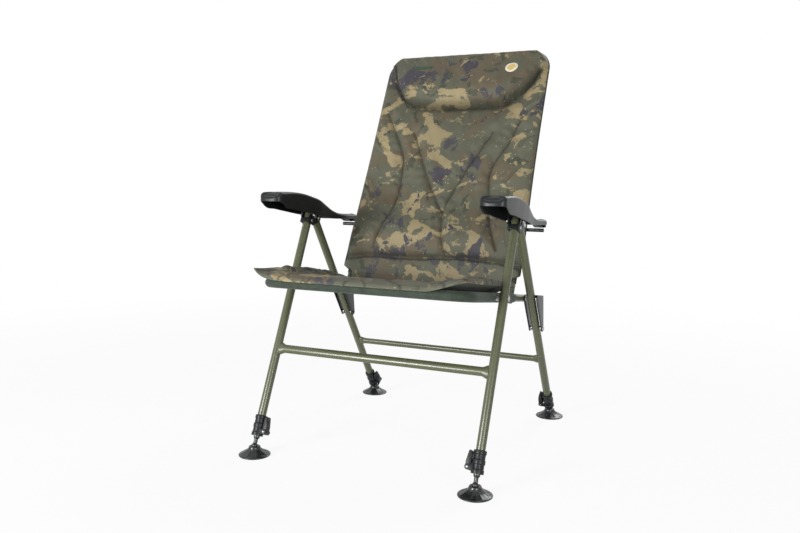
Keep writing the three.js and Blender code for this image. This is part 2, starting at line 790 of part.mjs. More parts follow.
// Upper side of the sling: flat over the hoop's tubes and hanging inside them
function slingTop(x, y) {
  const right = Math.abs(x) - (seat_rail_x - seat_corner_radius);
  const ahead = -y - (seat_front_reach - seat_corner_radius);
  const outside = Math.hypot(Math.max(right, 0), Math.max(ahead, 0)) + Math.min(Math.max(right, ahead), 0);
  const share = (seat_corner_radius - outside - sling_margin) / sling_sag_reach;
  const sag = sling_sag * (1 - (1 - Math.min(Math.max(share, 0), 1)) ** 2);
  return rail_radius + seat_gap + sling_thickness - sag;
}

function seatSling() {
  const length = seat_front_reach + sling_rear;
  const place = (s, t) => ({
    x: Math.sin((s - 0.5) * Math.PI) * sling_half_width, y: t * length - seat_front_reach,
  });
  return sheet(pad_columns, sling_rows, place, ({ x, y }) => slingTop(x, y), sling_thickness);
}

// Closed sheet of one thickness that follows a surface
function sheet(columns, rows, place, upper, thickness) {
  const positions = [];
  for (const drop of [0, thickness]) {
    for (let row = 0; row <= rows; row += 1) {
      for (let column = 0; column <= columns; column += 1) {
        const spot = place(column / columns, row / rows);
        positions.push(spot.x, spot.y, upper(spot) - drop);
      }
    }
  }
  const count = (columns + 1) * (rows + 1);
  const index = [];
  const quad = (a, b, c, d) => index.push(a, b, c, a, c, d);
  for (let row = 0; row < rows; row += 1) {
    for (let column = 0; column < columns; column += 1) {
      const a = row * (columns + 1) + column;
      quad(a, a + 1, a + columns + 2, a + columns + 1);
      quad(count + a, count + a + columns + 1, count + a + columns + 2, count + a + 1);
    }
  }
  const wall = (a, b) => quad(b, a, count + a, count + b);
  for (let column = 0; column < columns; column += 1) {
    wall(column, column + 1);
    wall(rows * (columns + 1) + column + 1, rows * (columns + 1) + column);
  }
  for (let row = 0; row < rows; row += 1) {
    wall((row + 1) * (columns + 1), row * (columns + 1));
    wall(row * (columns + 1) + columns, (row + 1) * (columns + 1) + columns);
  }
  const geometry = new THREE.BufferGeometry();
  geometry.setAttribute("position", new THREE.Float32BufferAttribute(positions, 3));
  geometry.setIndex(index);
  return geometry;
}

// Seat cushion: it lies on the sling, curls up over the rails and droops over the front tube
function seatCushion() {
  const place = (s, t) => {
    const across = Math.sin((s - 0.5) * Math.PI);
    return { x: across * cushion_half_width, y: -cushion_front + t * (cushion_front + cushion_rear) };
  };
  const base = ({ x, y }) => {
    const ahead = Math.max(-seat_front_reach - y, 0) / cushion_droop_length;
    const aside = (x / cushion_half_width) ** 2;
    const corner = Math.max(cushion_curl_length - cushion_front - y, 0) / cushion_curl_length;
    const curl = cushion_corner_curl * aside ** 4 * corner ** 2;
    const droop = cushion_front_droop * ahead ** 2 * (1 - aside);
    return slingTop(x, Math.max(y, -seat_front_reach)) + cushion_lift + curl - droop;
  };
  const edge = ({ x, y }) => Math.min(cushion_half_width - Math.abs(x), y + cushion_front);
  const thickness = (spot) => {
    const fromHinge = back_hinge_reach - spot.y;
    const wedge = Math.min(cushion_thickness, Math.tan(fold_wedge_seat) * fromHinge - base(spot));
    const fade = Math.min(1, fromHinge / (2 * cushion_tail) - 0.5);
    const side = cushion_roll * (spot.x / cushion_half_width) ** 4 * fade;
    const channel = (Math.abs(spot.x) + spot.y) / cushion_channel_pitch;
    const off = (channel - Math.round(channel)) * cushion_channel_pitch;
    const groove = cushion_channel_depth * seam(off, cushion_channel_half_width);
    return Math.max(wedge + Math.max(side, 0) - groove, cushion_least);
  };
  const swell = (spot) => rounded(edge(spot), cushion_edge_round);
  const rise = (spot) => THREE.MathUtils.lerp(cushion_rim_share, 1, swell(spot));
  const upper = (spot) => base(spot) + thickness(spot) * rise(spot);
  return skin(pad_columns, seat_pad_rows, place, upper, base);
}

// Back: a group whose Z runs up the rails from the hinge and whose Y points behind
function back() {
  const group = new THREE.Group();
  group.position.set(0, back_hinge.y, back_hinge.z);
  group.rotation.x = -back_lean;
  chair.add(group);
  const corners = [
    [-back_rail_x, -back_rail_tail], [-back_rail_x, back_rail_length],
    [back_rail_x, back_rail_length], [back_rail_x, -back_rail_tail],
  ].map(([x, z]) => new THREE.Vector3(x, 0, z));
  const hoop = bentTube(corners, back_corner_radius, rail_radius, rail_wall);
  const bore = rod(rail_radius - rail_wall / 2, 0, 2 * back_brace_height, rail_sides);
  const bores = sides.map(([, side]) => bore.clone().translate(side * back_rail_x, 0, 0));
  const brace = rodAlongX(back_brace_radius, -back_rail_x, back_rail_x, rail_sides);
  brace.translate(0, 0, back_brace_height);
  const holes = sides.flatMap(([, side]) => [
    rodAlongX(bolt_radius + pin_gap, -2 * rail_radius, 2 * rail_radius).translate(side * back_rail_x, 0, 0),
    rodAlongX(recline_pin_radius + pin_gap, -2 * rail_radius, 2 * rail_radius)
      .translate(side * back_rail_x, 0, recline_pin_rise),
  ]);
  piece("back_frame", cut(join(hoop, cut(brace, ...bores)), ...holes), green_paint, group);
  piece("back_rear_panel", rearPanel(), dark_fabric, group);
  piece("back_cushion", backCushion(), camo_fabric, group);
  for (const [word, side] of sides) {
    at(piece(`back_hinge_bolt_${word}`, backHingeBolt(side), zinc), side * seat_rail_x, back_hinge);
    at(piece(`recline_pin_${word}`, reclinePin(side), zinc), 0, recline_pin);
  }
}

// Bolt through the back rail into the seat rail, flush in its outer wall
function backHingeBolt(side) {
  const shift = seat_rail_x - back_rail_x;
  const low = -shift - rail_radius - seat_gap;
  const flush = rail_radius - seat_gap;
  const collar = [-shift + rail_radius + seat_gap, -rail_radius - seat_gap];
  const profile = [
    [0, low - bolt_head_thickness], [bolt_head_radius, low - bolt_head_thickness], [bolt_head_radius, low],
    [bolt_radius, low], [bolt_radius, collar[0]], [bolt_head_radius, collar[0]],
    [bolt_head_radius, collar[1]], [bolt_radius, collar[1]], [bolt_radius, flush], [0, flush],
  ];
  const pin = turnedAlongX(profile, small_sides);
  return side > 0 ? pin : pin.rotateZ(Math.PI);
}

function reclinePin(side) {
  const low = back_rail_x - rail_radius - seat_gap - bolt_head_thickness;
  const collar = back_rail_x + rail_radius + seat_gap;
  const profile = [
    [0, low], [bolt_head_radius, low], [bolt_head_radius, low + bolt_head_thickness],
    [recline_pin_radius, low + bolt_head_thickness], [recline_pin_radius, collar],
    [bolt_head_radius, collar], [bolt_head_radius, collar + bolt_head_thickness],
    [recline_pin_radius, collar + bolt_head_thickness], [recline_pin_radius, recline_pin_reach],
    [0, recline_pin_reach],
  ];
  const pin = turnedAlongX(profile, small_sides);
  return side > 0 ? pin : pin.rotateZ(Math.PI);
}

// Cloth behind the back rails, with the frame's round upper corners
function rearPanel() {
  const half = back_rail_x + rail_radius;
  const top = back_rail_length + rail_radius - rear_panel_set_down;
  const radius = back_corner_radius + rail_radius;
  const shape = new THREE.Shape();
  shape.moveTo(-half, back_brace_height - back_brace_radius);
  shape.lineTo(half, back_brace_height - back_brace_radius);
  shape.lineTo(half, top - radius);
  shape.absarc(half - radius, top - radius, radius, 0, Math.PI / 2);
  shape.absarc(radius - half, top - radius, radius, Math.PI / 2, Math.PI);
  const near = rail_radius + seat_gap;
  return frontPlate(shape, near, near + rear_panel_thickness);
}

// Back cushion in front of the rails: pillow, V seams, lumbar swell and bottom roll
function backCushion() {
  const halfWidth = (z) => {
    const share = (z - back_pad_bottom) / (back_pad_top - back_pad_bottom);
    const straight = THREE.MathUtils.lerp(back_pad_bottom_half_width, back_pad_top_half_width, share);
    const over = Math.max(z - (back_pad_top - back_pad_corner_radius), 0);
    return straight - back_pad_corner_radius + Math.sqrt(back_pad_corner_radius ** 2 - over ** 2);
  };
  const place = (s, t) => {
    const z = back_pad_bottom + (back_pad_top - back_pad_bottom) * t;
    return { x: Math.sin((s - 0.5) * Math.PI) * halfWidth(z), y: z };
  };
  const rear = () => rail_radius + seat_gap;
  const front = ({ x, y: z }) => {
    const edge = Math.min(halfWidth(z) - Math.abs(x), z - back_pad_bottom, back_pad_top - z);
    const inside = rounded(edge, back_pad_edge_round);
    const across = 1 - (x / halfWidth(z)) ** 4;
    const fade = 3 * back_pad_edge_round;
    const swell = pillow_swell * rounded(z - pillow_bottom, fade) * rounded(back_pad_top - z, fade);
    const pillow = z > pillow_bottom ? swell : 0;
    const lumbar = lumbar_swell * seam(z - lumbar_middle, lumbar_half_height);
    const v = Math.abs(x) - (v_seam_spread * (z - v_seam_foot)) / v_seam_rise;
    const sewn = Math.max(
      z > v_seam_foot && z < pillow_bottom ? seam(v, pad_seam_half_width) : 0,
      seam(z - pillow_bottom, pad_seam_half_width),
      seam(z - roll_seam_height, pad_seam_half_width)
    );
    const filling = across * (back_pad_crown + pillow + lumbar);
    const height = back_pad_base + filling - pad_seam_depth * sewn;
    const limit = Math.tan(fold_wedge_back) * z - rear();
    return rear() + Math.max(Math.min(height * inside, limit), back_pad_least);
  };
  const pad = skin(pad_columns, back_pad_rows, place, front, rear);
  const stand = new THREE.Matrix4().makeBasis(
    new THREE.Vector3(1, 0, 0), new THREE.Vector3(0, 0, 1), new THREE.Vector3(0, -1, 0)
  );
  return pad.applyMatrix4(stand);
}

// Closed shell through outlines that all have the same number of points
function loft(outlines) {
  const count = outlines[0].length;
  const positions = outlines.flat(2);
  const index = [];
  for (let ring = 0; ring < outlines.length - 1; ring += 1) {
    for (let i = 0; i < count; i += 1) {
      const [a, b] = [ring * count + i, ring * count + ((i + 1) % count)];
      index.push(a, b, b + count, a, b + count, a + count);
    }
  }
  const last = (outlines.length - 1) * count;
  for (let i = 1; i < count - 1; i += 1) {
    index.push(0, i + 1, i);
    index.push(last, last + i, last + i + 1);
  }
  const geometry = new THREE.BufferGeometry();
  geometry.setAttribute("position", new THREE.Float32BufferAttribute(positions, 3));
  geometry.setIndex(index);
  return geometry;
}

function armrestOutline({ y, half, top, under }, inset, radius) {
  const points = [[half - inset, y, under], [inset - half, y, under]];
  for (const side of [-1, 1]) {
    for (let step = 0; step < corner_points; step += 1) {
      const turn = (Math.PI / 2) * (step / (corner_points - 1));
      const [out, up] = side < 0 ? [Math.cos(turn), Math.sin(turn)] : [Math.sin(turn), Math.cos(turn)];
      points.push([side * (half - inset - radius + radius * out), y, top - inset - radius + radius * up]);
    }
  }
  return points;
}

function armrestTop(y) {
  const next = armrest_sections.findIndex((section) => section.y > y);
  const [near, far] = [armrest_sections[next - 1], armrest_sections[next]];
  return near.top + ((far.top - near.top) * (y - near.y)) / (far.y - near.y);
}

function armrest(side) {
  const shell = loft(armrest_sections.map((section) => armrestOutline(section, 0, armrest_edge_radius)));
  const inner = armrest_sections.slice(1, -1).map((section, i, list) => {
    const shift = i === 0 ? armrest_wall : 0;
    const setback = i === list.length - 1 ? armrest_wall : 0;
    return armrestOutline(
      { ...section, y: section.y + shift - setback, under: section.under - 2 * armrest_edge_radius },
      armrest_wall, armrest_edge_radius - armrest_wall
    );
  });
  const lug = new THREE.Shape();
  lug.moveTo(arm_pivot.y - lug_half_width, armrestTop(arm_pivot.y - lug_half_width) - armrest_wall / 2);
  lug.lineTo(arm_pivot.y - lug_radius, arm_pivot.z);
  lug.absarc(arm_pivot.y, arm_pivot.z, lug_radius, Math.PI, 2 * Math.PI);
  lug.lineTo(arm_pivot.y + lug_half_width, armrestTop(arm_pivot.y + lug_half_width) - armrest_wall / 2);
  const near = bracket_outer + lug_gap;
  const lugs = [near, -near - lug_thickness].map((x) => sidePlate(lug, x, x + lug_thickness));
  const hollow = cut(shell, loft(inner));
  const whole = join(hollow, ...lugs, rack());
  const far = side * (near + 2 * lug_thickness);
  const bore = bolt_radius + pin_gap;
  const bushHole = rodAlongX(bore + bush_wall + pin_gap, Math.min(0, far), Math.max(0, far));
  const boltHole = rodAlongX(bore, Math.min(0, -far), Math.max(0, -far));
  return cut(whole, ...[bushHole, boltHole].map((hole) => hole.translate(0, arm_pivot.y, arm_pivot.z)));
}

// Comb under the armrest's rear end; its tips clear the pin all the way as the back reclines
function rack() {
  const sweep = recline_pin_rise + recline_pin_radius + rack_clearance;
  const tip = (y) => {
    const behind = Math.min(y, recline_pin.y) - back_hinge.y;
    return back_hinge.z + Math.sqrt(sweep ** 2 - behind ** 2);
  };
  const reach = (notches) => notches * rack_pitch + rack_notch_radius + rack_end_wall;
  const front = recline_pin.y - reach(rack_notches_ahead);
  const rear = recline_pin.y + reach(rack_notches_behind);
  const last = armrest_sections[armrest_sections.length - 2];
  const top = last.top - armrest_wall / 2;
  const shape = new THREE.Shape();
  shape.moveTo(rear, top);
  shape.lineTo(front, top);
  shape.lineTo(front, tip(front));
  for (let notch = -rack_notches_ahead; notch <= rack_notches_behind; notch += 1) {
    const middle = recline_pin.y + notch * rack_pitch;
    const root = tip(middle) + rack_notch_depth - rack_notch_radius;
    shape.lineTo(middle - rack_notch_radius, tip(middle - rack_notch_radius));
    shape.absarc(middle, root, rack_notch_radius, Math.PI, 0, true);
    shape.lineTo(middle + rack_notch_radius, tip(middle + rack_notch_radius));
  }
  shape.lineTo(rear, tip(rear));
  const half = last.half - armrest_wall / 2;
  return sidePlate(shape, -half, half);
}

function armrests() {
  for (const [word, side] of sides) {
    const rest = piece(`armrest_${word}`, armrest(side), black_plastic);
    rest.position.x = side * leg_plane_x;
    const bush = piece(`arm_bush_${word}`, armBush(side), zinc);
    at(bush, side * leg_plane_x, arm_pivot);
  }
}

function armBush(side) {
  const low = bracket_outer + seat_gap;
  const bore = bolt_radius + pin_gap;
  const high = low + bush_flange + lug_thickness + 2 * seat_gap;
  const profile = [
    [bore, low], [bush_flange_radius, low], [bush_flange_radius, low + bush_flange],
    [bore + bush_wall, low + bush_flange], [bore + bush_wall, high], [bore, high], [bore, low],
  ];
  const bush = turnedAlongX(profile, small_sides);
  return side > 0 ? bush : bush.rotateZ(Math.PI);
}

frontLegs();
rearLegs();
crossbars();
pivotBolts();
rearLinks();
seat();
back();
armrests();

export default chair;
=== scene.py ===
"""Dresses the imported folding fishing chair: padded camouflage cushions, painted tubes, moulded armrests and mud feet.

Lengths are in millimetres in the functions below and in metres in the meshes. The frame is the CAD model's: the ground
is z = 0, -Y points towards the sitter's feet and +X to the sitter's left.
"""

import json
import math

import bmesh
import bpy
import numpy as np
from mathutils import Matrix, Vector

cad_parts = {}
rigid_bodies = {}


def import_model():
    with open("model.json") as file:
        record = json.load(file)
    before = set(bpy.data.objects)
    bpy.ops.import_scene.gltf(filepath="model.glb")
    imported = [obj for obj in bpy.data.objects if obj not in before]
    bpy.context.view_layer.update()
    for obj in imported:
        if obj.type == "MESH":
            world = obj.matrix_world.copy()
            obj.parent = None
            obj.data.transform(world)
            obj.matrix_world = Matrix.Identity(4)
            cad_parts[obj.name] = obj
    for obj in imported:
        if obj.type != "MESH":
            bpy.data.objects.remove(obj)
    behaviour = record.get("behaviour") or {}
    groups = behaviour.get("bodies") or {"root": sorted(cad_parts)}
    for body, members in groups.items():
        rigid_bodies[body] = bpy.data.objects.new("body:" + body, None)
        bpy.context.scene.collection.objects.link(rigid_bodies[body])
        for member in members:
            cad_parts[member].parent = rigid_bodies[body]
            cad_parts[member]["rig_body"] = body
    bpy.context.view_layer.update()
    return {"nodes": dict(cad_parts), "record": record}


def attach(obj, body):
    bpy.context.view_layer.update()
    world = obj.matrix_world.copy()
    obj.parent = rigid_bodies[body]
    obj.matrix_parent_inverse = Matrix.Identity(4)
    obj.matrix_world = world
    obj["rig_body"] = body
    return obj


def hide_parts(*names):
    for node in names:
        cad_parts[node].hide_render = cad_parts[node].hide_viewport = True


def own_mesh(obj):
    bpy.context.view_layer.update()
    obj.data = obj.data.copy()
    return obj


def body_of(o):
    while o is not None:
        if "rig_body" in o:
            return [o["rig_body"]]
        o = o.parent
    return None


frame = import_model()

MM = 0.001
SIDES = (("left", 1), ("right", -1))
ENDS = ("front", "rear")
LEGS = [(end, word, side) for word, side in SIDES for end in ENDS]

# Leg triangle, tubes and pivots, as in the CAD model
LEG_X, FOOT_REACH, ANKLE = 294.0, 340.0, 24.0
ARM_PIVOT, REAR_PIVOT = (-80.5, 600.0), (-50.8, 591.0)
LEG_RADIUS, RAIL_RADIUS, ROD_RADIUS = 11.0, 10.0, 8.0
SEAT_PIVOT_HEIGHT, LINK_FOOT_HEIGHT, LINK_HEAD_HEIGHT = 420.0, 300.0, 388.0
SLEEVE_RISE = {"front": 25.0, "rear": 14.0}
FOOT_Y = {"front": -FOOT_REACH, "rear": FOOT_REACH}
LEAN = {
    "front": math.atan2(-FOOT_REACH - ARM_PIVOT[0], ARM_PIVOT[1] - ANKLE),
    "rear": math.atan2(FOOT_REACH - REAR_PIVOT[0], REAR_PIVOT[1] - ANKLE),
}
LEG_LENGTH = {
    "front": (ARM_PIVOT[1] - ANKLE) / math.cos(LEAN["front"]),
    "rear": (REAR_PIVOT[1] - ANKLE) / math.cos(LEAN["rear"]),
}


def leg_point(end, height):
    """Side-view point (y, z) of a leg's centre line at a height."""
    return np.array((FOOT_Y[end] - (height - ANKLE) * math.tan(LEAN[end]), height))


SEAT_PIVOT = leg_point("front", SEAT_PIVOT_HEIGHT)
LINK_HEAD, LINK_FOOT = leg_point("rear", LINK_HEAD_HEIGHT), leg_point("rear", LINK_FOOT_HEIGHT)
SEAT_LEAN = math.atan2(LINK_HEAD[1] - SEAT_PIVOT[1], LINK_HEAD[0] - SEAT_PIVOT[0])
LINK_REACH = math.hypot(*(LINK_HEAD - SEAT_PIVOT))
HINGE_REACH = LINK_REACH - 30.0
BACK_HINGE = SEAT_PIVOT + HINGE_REACH * np.array((math.cos(SEAT_LEAN), math.sin(SEAT_LEAN)))
BACK_LEAN = math.radians(-25.38)
PIN_HEIGHT = 569.0
PIN_RISE = (PIN_HEIGHT - BACK_HINGE[1]) / math.cos(BACK_LEAN)
RECLINE_PIN = (BACK_HINGE[0] - PIN_RISE * math.sin(BACK_LEAN), PIN_HEIGHT)
SEAT_RAIL_X, SEAT_FRONT_BAR, SEAT_BEND = 265.0, -190.0, 55.0
BACK_RAIL_X, BACK_RAIL_TOP, BACK_BEND = 243.0, 748.0, 66.0


# Placing
def lean(points, pivot, angle):
    """Turns points about X by an angle and moves them to a pivot."""
    x, y, z = np.moveaxis(np.asarray(points, float), -1, 0)
    c, s = math.cos(angle), math.sin(angle)
    return np.stack([x, y * c - z * s, y * s + z * c], axis=-1) + np.asarray(pivot, float)


def stacked(*terms):
    return np.stack(np.broadcast_arrays(*terms), axis=-1)


def on_seat(x, along, up):
    """Point of the seat: across, back along the rails from the leg pivot, and up from the rails' centre plane."""
    return lean(stacked(x, along, up), (0, *SEAT_PIVOT), SEAT_LEAN)


def on_back(x, behind, up):
    """Point of the back: across, behind the rails' centre plane, and up the rails from the hinge."""
    return lean(stacked(x, behind, up), (0, *BACK_HINGE), BACK_LEAN)


def on_leg(points, end, side):
    """Points of a leg's own frame, whose Z runs up the tube from the ankle."""
    return lean(points, (side * LEG_X, FOOT_Y[end], ANKLE), LEAN[end])


def along_x(points, side=1):
    """Stands a shape that is turned about Z along X instead, pointing outwards on its side."""
    x, y, z = np.moveaxis(np.asarray(points, float), -1, 0)
    return np.stack([z * side, x * side, y], axis=-1)


def unit(arrows):
    """Each arrow divided by its length."""
    return arrows / np.maximum(np.linalg.norm(arrows, axis=1, keepdims=True), 1e-9)


def quarter(edge, steps):
    """Inset and depth along a quarter circle of a rounded edge: edge * (1 - sin a) and edge * (1 - cos a)."""
    angle = np.linspace(0, np.pi / 2, steps)
    return edge * (1 - np.sin(angle)), edge * (1 - np.cos(angle))


# Grids, tubes, turned shapes and plates: each gives points and faces
def grid_faces(rows, columns, closed_columns=False):
    """Four-cornered faces between neighbours on a grid of rows by columns."""
    row = np.arange(rows - 1)
    column = np.arange(columns if closed_columns else columns - 1)
    r, c = np.meshgrid(row, column, indexing="ij")
    next_column = (c + 1) % columns
    faces = [r * columns + c, r * columns + next_column, (r + 1) * columns + next_column, (r + 1) * columns + c]
    return np.stack(faces, axis=-1).reshape(-1, 4)


def capped(rings):
    """Closed shape through rings of points: faces between the rings and one face over each end."""
    count, sides = rings.shape[:2]
    faces = grid_faces(count, sides, True).tolist()
    faces.append(list(range(sides))[::-1])
    faces.append(list(range((count - 1) * sides, count * sides)))
    return rings, faces


def turned(profile, sides=36):
    """Turned shape: at each (radius, height) of a profile the circle radius * (cos a, sin a)."""
    radius, height = np.asarray(profile, float).T[:, :, None]
    angle = np.linspace(0, 2 * np.pi, sides, endpoint=False)
    return stacked(radius * np.cos(angle), radius * np.sin(angle), height), grid_faces(radius.shape[0], sides, True)


def tube(path, across, radius, sides=30, squeeze=1.0):
    """Circle carried along a path: path + radius * (cos a * across + squeeze * sin a * (direction x across))."""
    path = np.asarray(path, float)
    across = np.asarray(across, float)
    other = np.cross(unit(np.gradient(path, axis=0)), across)[:, None]
    radius, squeeze = (np.broadcast_to(size, len(path))[:, None, None] for size in (radius, squeeze))
    angle = np.linspace(0, 2 * np.pi, sides, endpoint=False)[None, :, None]
    return capped(path[:, None] + radius * (np.cos(angle) * across + squeeze * np.sin(angle) * other))


def softened(corners, radius, closed=False, steps=5):
    """Line whose corners are cut back by up to a radius and rounded by a parabola between the two cuts."""
    corners = np.asarray(corners, float)
    before, after = np.roll(corners, 1, axis=0), np.roll(corners, -1, axis=0)
    share = np.linspace(0, 1, steps)[:, None, None]

    def cut(other):
        reach = np.linalg.norm(other - corners, axis=1, keepdims=True)
        return corners + (other - corners) * np.minimum(radius / np.maximum(reach, 1e-9), 0.48)

    start, end = cut(before), cut(after)
    arcs = (1 - share) ** 2 * start + 2 * share * (1 - share) * corners + share ** 2 * end
    arcs = np.swapaxes(arcs, 0, 1)
    if closed:
        return arcs.reshape(-1, corners.shape[1])
    return np.concatenate([corners[:1], arcs[1:-1].reshape(-1, corners.shape[1]), corners[-1:]])


def bent(corners, radius, steps=16):
    """Line with a true arc of the radius at each inner corner."""
    corners = np.asarray(corners, float)
    parts = [corners[:1]]
    for before, corner, after in zip(corners[:-2], corners[1:-1], corners[2:]):
        into = (corner - before) / np.linalg.norm(corner - before)
        away = (after - corner) / np.linalg.norm(after - corner)
        whole = math.acos(float(into @ away))
        side = (away - into * float(away @ into)) / math.sin(whole)
        turn = np.linspace(0, whole, steps)[:, None]
        parts.append(corner - into * radius * math.tan(whole / 2) + into * radius * np.sin(turn)
                     + side * radius * (1 - np.cos(turn)))
    return np.concatenate(parts + [corners[-1:]])


def slab(outline, low, high, edge=0.7):
    """Plate of an outline (y, z) between two values of x; near each face it shrinks along a quarter circle."""
    outline = np.asarray(outline, float)
    ahead = np.roll(outline, -1, axis=0) - np.roll(outline, 1, axis=0)
    if np.sum(outline[:, 0] * np.roll(outline[:, 1], -1) - np.roll(outline[:, 0], -1) * outline[:, 1]) < 0:
        outline, ahead = outline[::-1], -ahead[::-1]
    out = unit(np.stack([ahead[:, 1], -ahead[:, 0]], axis=-1))
    inset, depth = quarter(edge, 4)
    x = np.concatenate([low + depth, (high - depth)[::-1]])
    inset = np.concatenate([inset, inset[::-1]])
    ring = outline[None] - out[None] * inset[:, None, None]
    return capped(stacked(x[:, None], ring[..., 0], ring[..., 1]))


def cheeks(outline, near, far, edge=0.7):
    """Two plates of one outline, on both sides of the middle."""
    return [slab(outline, near, far, edge), slab(outline, -far, -near, edge)]


def arc(centre, radius, start, end, steps=14):
    """Points of an arc in the side plane between two angles."""
    angle = np.linspace(start, end, steps)
    return np.stack([centre[0] + radius * np.cos(angle), centre[1] + radius * np.sin(angle)], axis=-1)


def moved(part, place):
    """The same shape with its points put elsewhere by a function."""
    return (place(part[0]),) + tuple(part[1:])


def upright(points):
    """Turns a plate of an outline (y, z) so that the outline lies across the leg, in x and z."""
    x, y, z = np.moveaxis(points, -1, 0)
    return np.stack([y, -x, z], axis=-1)


def body_of_node(node):
    """Name of the body that carries a CAD node."""
    bodies = body_of(frame["nodes"][node])
    return bodies if isinstance(bodies, str) else bodies[0]


def make(name, parts, finish, body, stands_for=None, place=None, **shares):
    """One piece from shapes in millimetres, put elsewhere by a function if one is given: its mesh and finish, its body,
    the CAD node it stands for, and shares from 0 to 1 that its finish reads at each point."""
    if place:
        parts = [moved(part, place) for part in parts]
    points = np.concatenate([np.reshape(part[0], (-1, 3)) for part in parts]) * MM
    faces, first = [], 0
    for part in parts:
        corners = part[1]
        if isinstance(corners, np.ndarray):
            faces += (corners + first).tolist()
        else:
            faces += [[corner + first for corner in face] for face in corners]
        first += np.reshape(part[0], (-1, 3)).shape[0]
    mesh = bpy.data.meshes.new(name)
    mesh.from_pydata(points.tolist(), [], faces)
    if len(parts[0]) > 2:
        cloth = np.concatenate([np.reshape(part[2], (-1, 2)) for part in parts]).astype(np.float32) * MM
        corners = np.zeros(len(mesh.loops), np.int32)
        mesh.loops.foreach_get("vertex_index", corners)
        mesh.uv_layers.new(name="cloth").data.foreach_set("uv", cloth[corners].ravel())
    for kind, values in shares.items():
        layer = mesh.attributes.new(kind, "FLOAT", "POINT")
        layer.data.foreach_set("value", np.concatenate([np.ravel(value) for value in values]).astype(np.float32))
    shape = bmesh.new()
    shape.from_mesh(mesh)
    bmesh.ops.remove_doubles(shape, verts=shape.verts, dist=1e-6)
    shape.to_mesh(mesh)
    shape.free()
    mesh.polygons.foreach_set("use_smooth", np.full(len(mesh.polygons), True))
    mesh.set_sharp_from_angle(angle=math.radians(42))
    mesh.update()
    mesh.materials.append(finish)
    piece = bpy.data.objects.new(name, mesh)
    bpy.context.scene.collection.objects.link(piece)
    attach(piece, body)
    if stands_for:
        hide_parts(stands_for)
    return piece


def thickened(piece, wall, offset):
    """Gives a sheet its wall."""
    modifier = piece.modifiers.new("wall", "SOLIDIFY")
    modifier.thickness = wall * MM
    modifier.offset = offset
    return piece


# Shader expressions
class Value:
    """A socket of a node tree; sums and products of it become Math nodes."""

    def __init__(self, tree, socket):
        self.tree, self.socket = tree, socket

    def feed(self, node, inputs):
        """Values or links for a node's sockets, by name or number."""
        for key, value in inputs.items():
            if isinstance(value, Value):
                self.tree.links.new(value.socket, node.inputs[key])
            elif value is not None:
                node.inputs[key].default_value = value

    def node(self, kind, settings, inputs, output=0):
        """Adds a node with its settings and what its sockets are fed; gives one of its outputs."""
        made = self.tree.nodes.new(kind)
        for key, value in settings.items():
            setattr(made, key, value)
        self.feed(made, inputs)
        return Value(self.tree, made.outputs[output])

    def maths(self, operation, *terms):
        return self.node("ShaderNodeMath", {"operation": operation}, dict(enumerate(terms)))

    def __add__(self, other):
        return self.maths("ADD", self, other)

    def __sub__(self, other):
        return self.maths("SUBTRACT", self, other)

    def __rsub__(self, other):
        return self.maths("SUBTRACT", other, self)

    def __mul__(self, other):
        return self.maths("MULTIPLY", self, other)

    __radd__, __rmul__ = __add__, __mul__

    def larger(self, other):
        return self.maths("MAXIMUM", self, other)

    def sine(self):
        return self.maths("SINE", self)

    def between(self, low, high):
        """0 below low, 1 above high, smooth in between."""
        inputs = {"Value": self, "From Min": low, "From Max": high}
        return self.node("ShaderNodeMapRange", {"interpolation_type": "SMOOTHSTEP"}, inputs)

    def noise(self, scale, detail=4.0, rough=0.55, warp=0.0, seed=0.0):
        """Cloudy noise at these coordinates; the seed picks another cloud."""
        inputs = {"Vector": self, "W": seed, "Scale": scale, "Detail": detail, "Roughness": rough, "Distortion": warp}
        return self.node("ShaderNodeTexNoise", {"noise_dimensions": "4D"}, inputs)

    def cells(self, scale):
        """Distance to the nearest of scattered points."""
        return self.node("ShaderNodeTexVoronoi", {}, {"Vector": self, "Scale": scale})

    def stretched(self, scale):
        return self.node("ShaderNodeMapping", {}, {"Vector": self, "Scale": scale})

    def part(self, number):
        return self.node("ShaderNodeSeparateXYZ", {}, {"Vector": self}, number)

    def over(self, below, above):
        """Colour above laid over colour below, by this share."""
        return self.node("ShaderNodeMix", {"data_type": "RGBA"}, {0: self, 6: below, 7: above}, 2)

    def bump(self, distance, strength=1.0, under=None):
        """Surface normal of this height, in metres where it is 1, over another normal."""
        inputs = {"Strength": strength, "Distance": distance, "Height": self, "Normal": under}
        return self.node("ShaderNodeBump", {}, inputs)


class Finish(Value):
    """A material that is put together from expressions; as a value it is the object's own coordinates."""

    def __init__(self, name):
        self.block = bpy.data.materials.new(name)
        self.block.use_nodes = True
        tree = self.block.node_tree
        super().__init__(tree, tree.nodes.new("ShaderNodeTexCoord").outputs["Object"])
        self.shader = next(node for node in tree.nodes if node.type == "BSDF_PRINCIPLED")

    def own(self, kind):
        """The piece's own share of something, such as lining or a sewn line; 0 where the piece has none."""
        return self.node("ShaderNodeAttribute", {"attribute_name": kind}, {}, "Fac")

    def set(self, sockets):
        """Feeds the shader's own sockets and gives the material."""
        self.feed(self.shader, sockets)
        return self.block


def tone(red, green, blue):
    """Linear colour from the 0 to 255 values that a screen shows."""
    share = np.array((red, green, blue)) / 255.0
    linear = np.where(share <= 0.04045, share / 12.92, ((share + 0.055) / 1.055) ** 2.4)
    return (*linear.tolist(), 1.0)


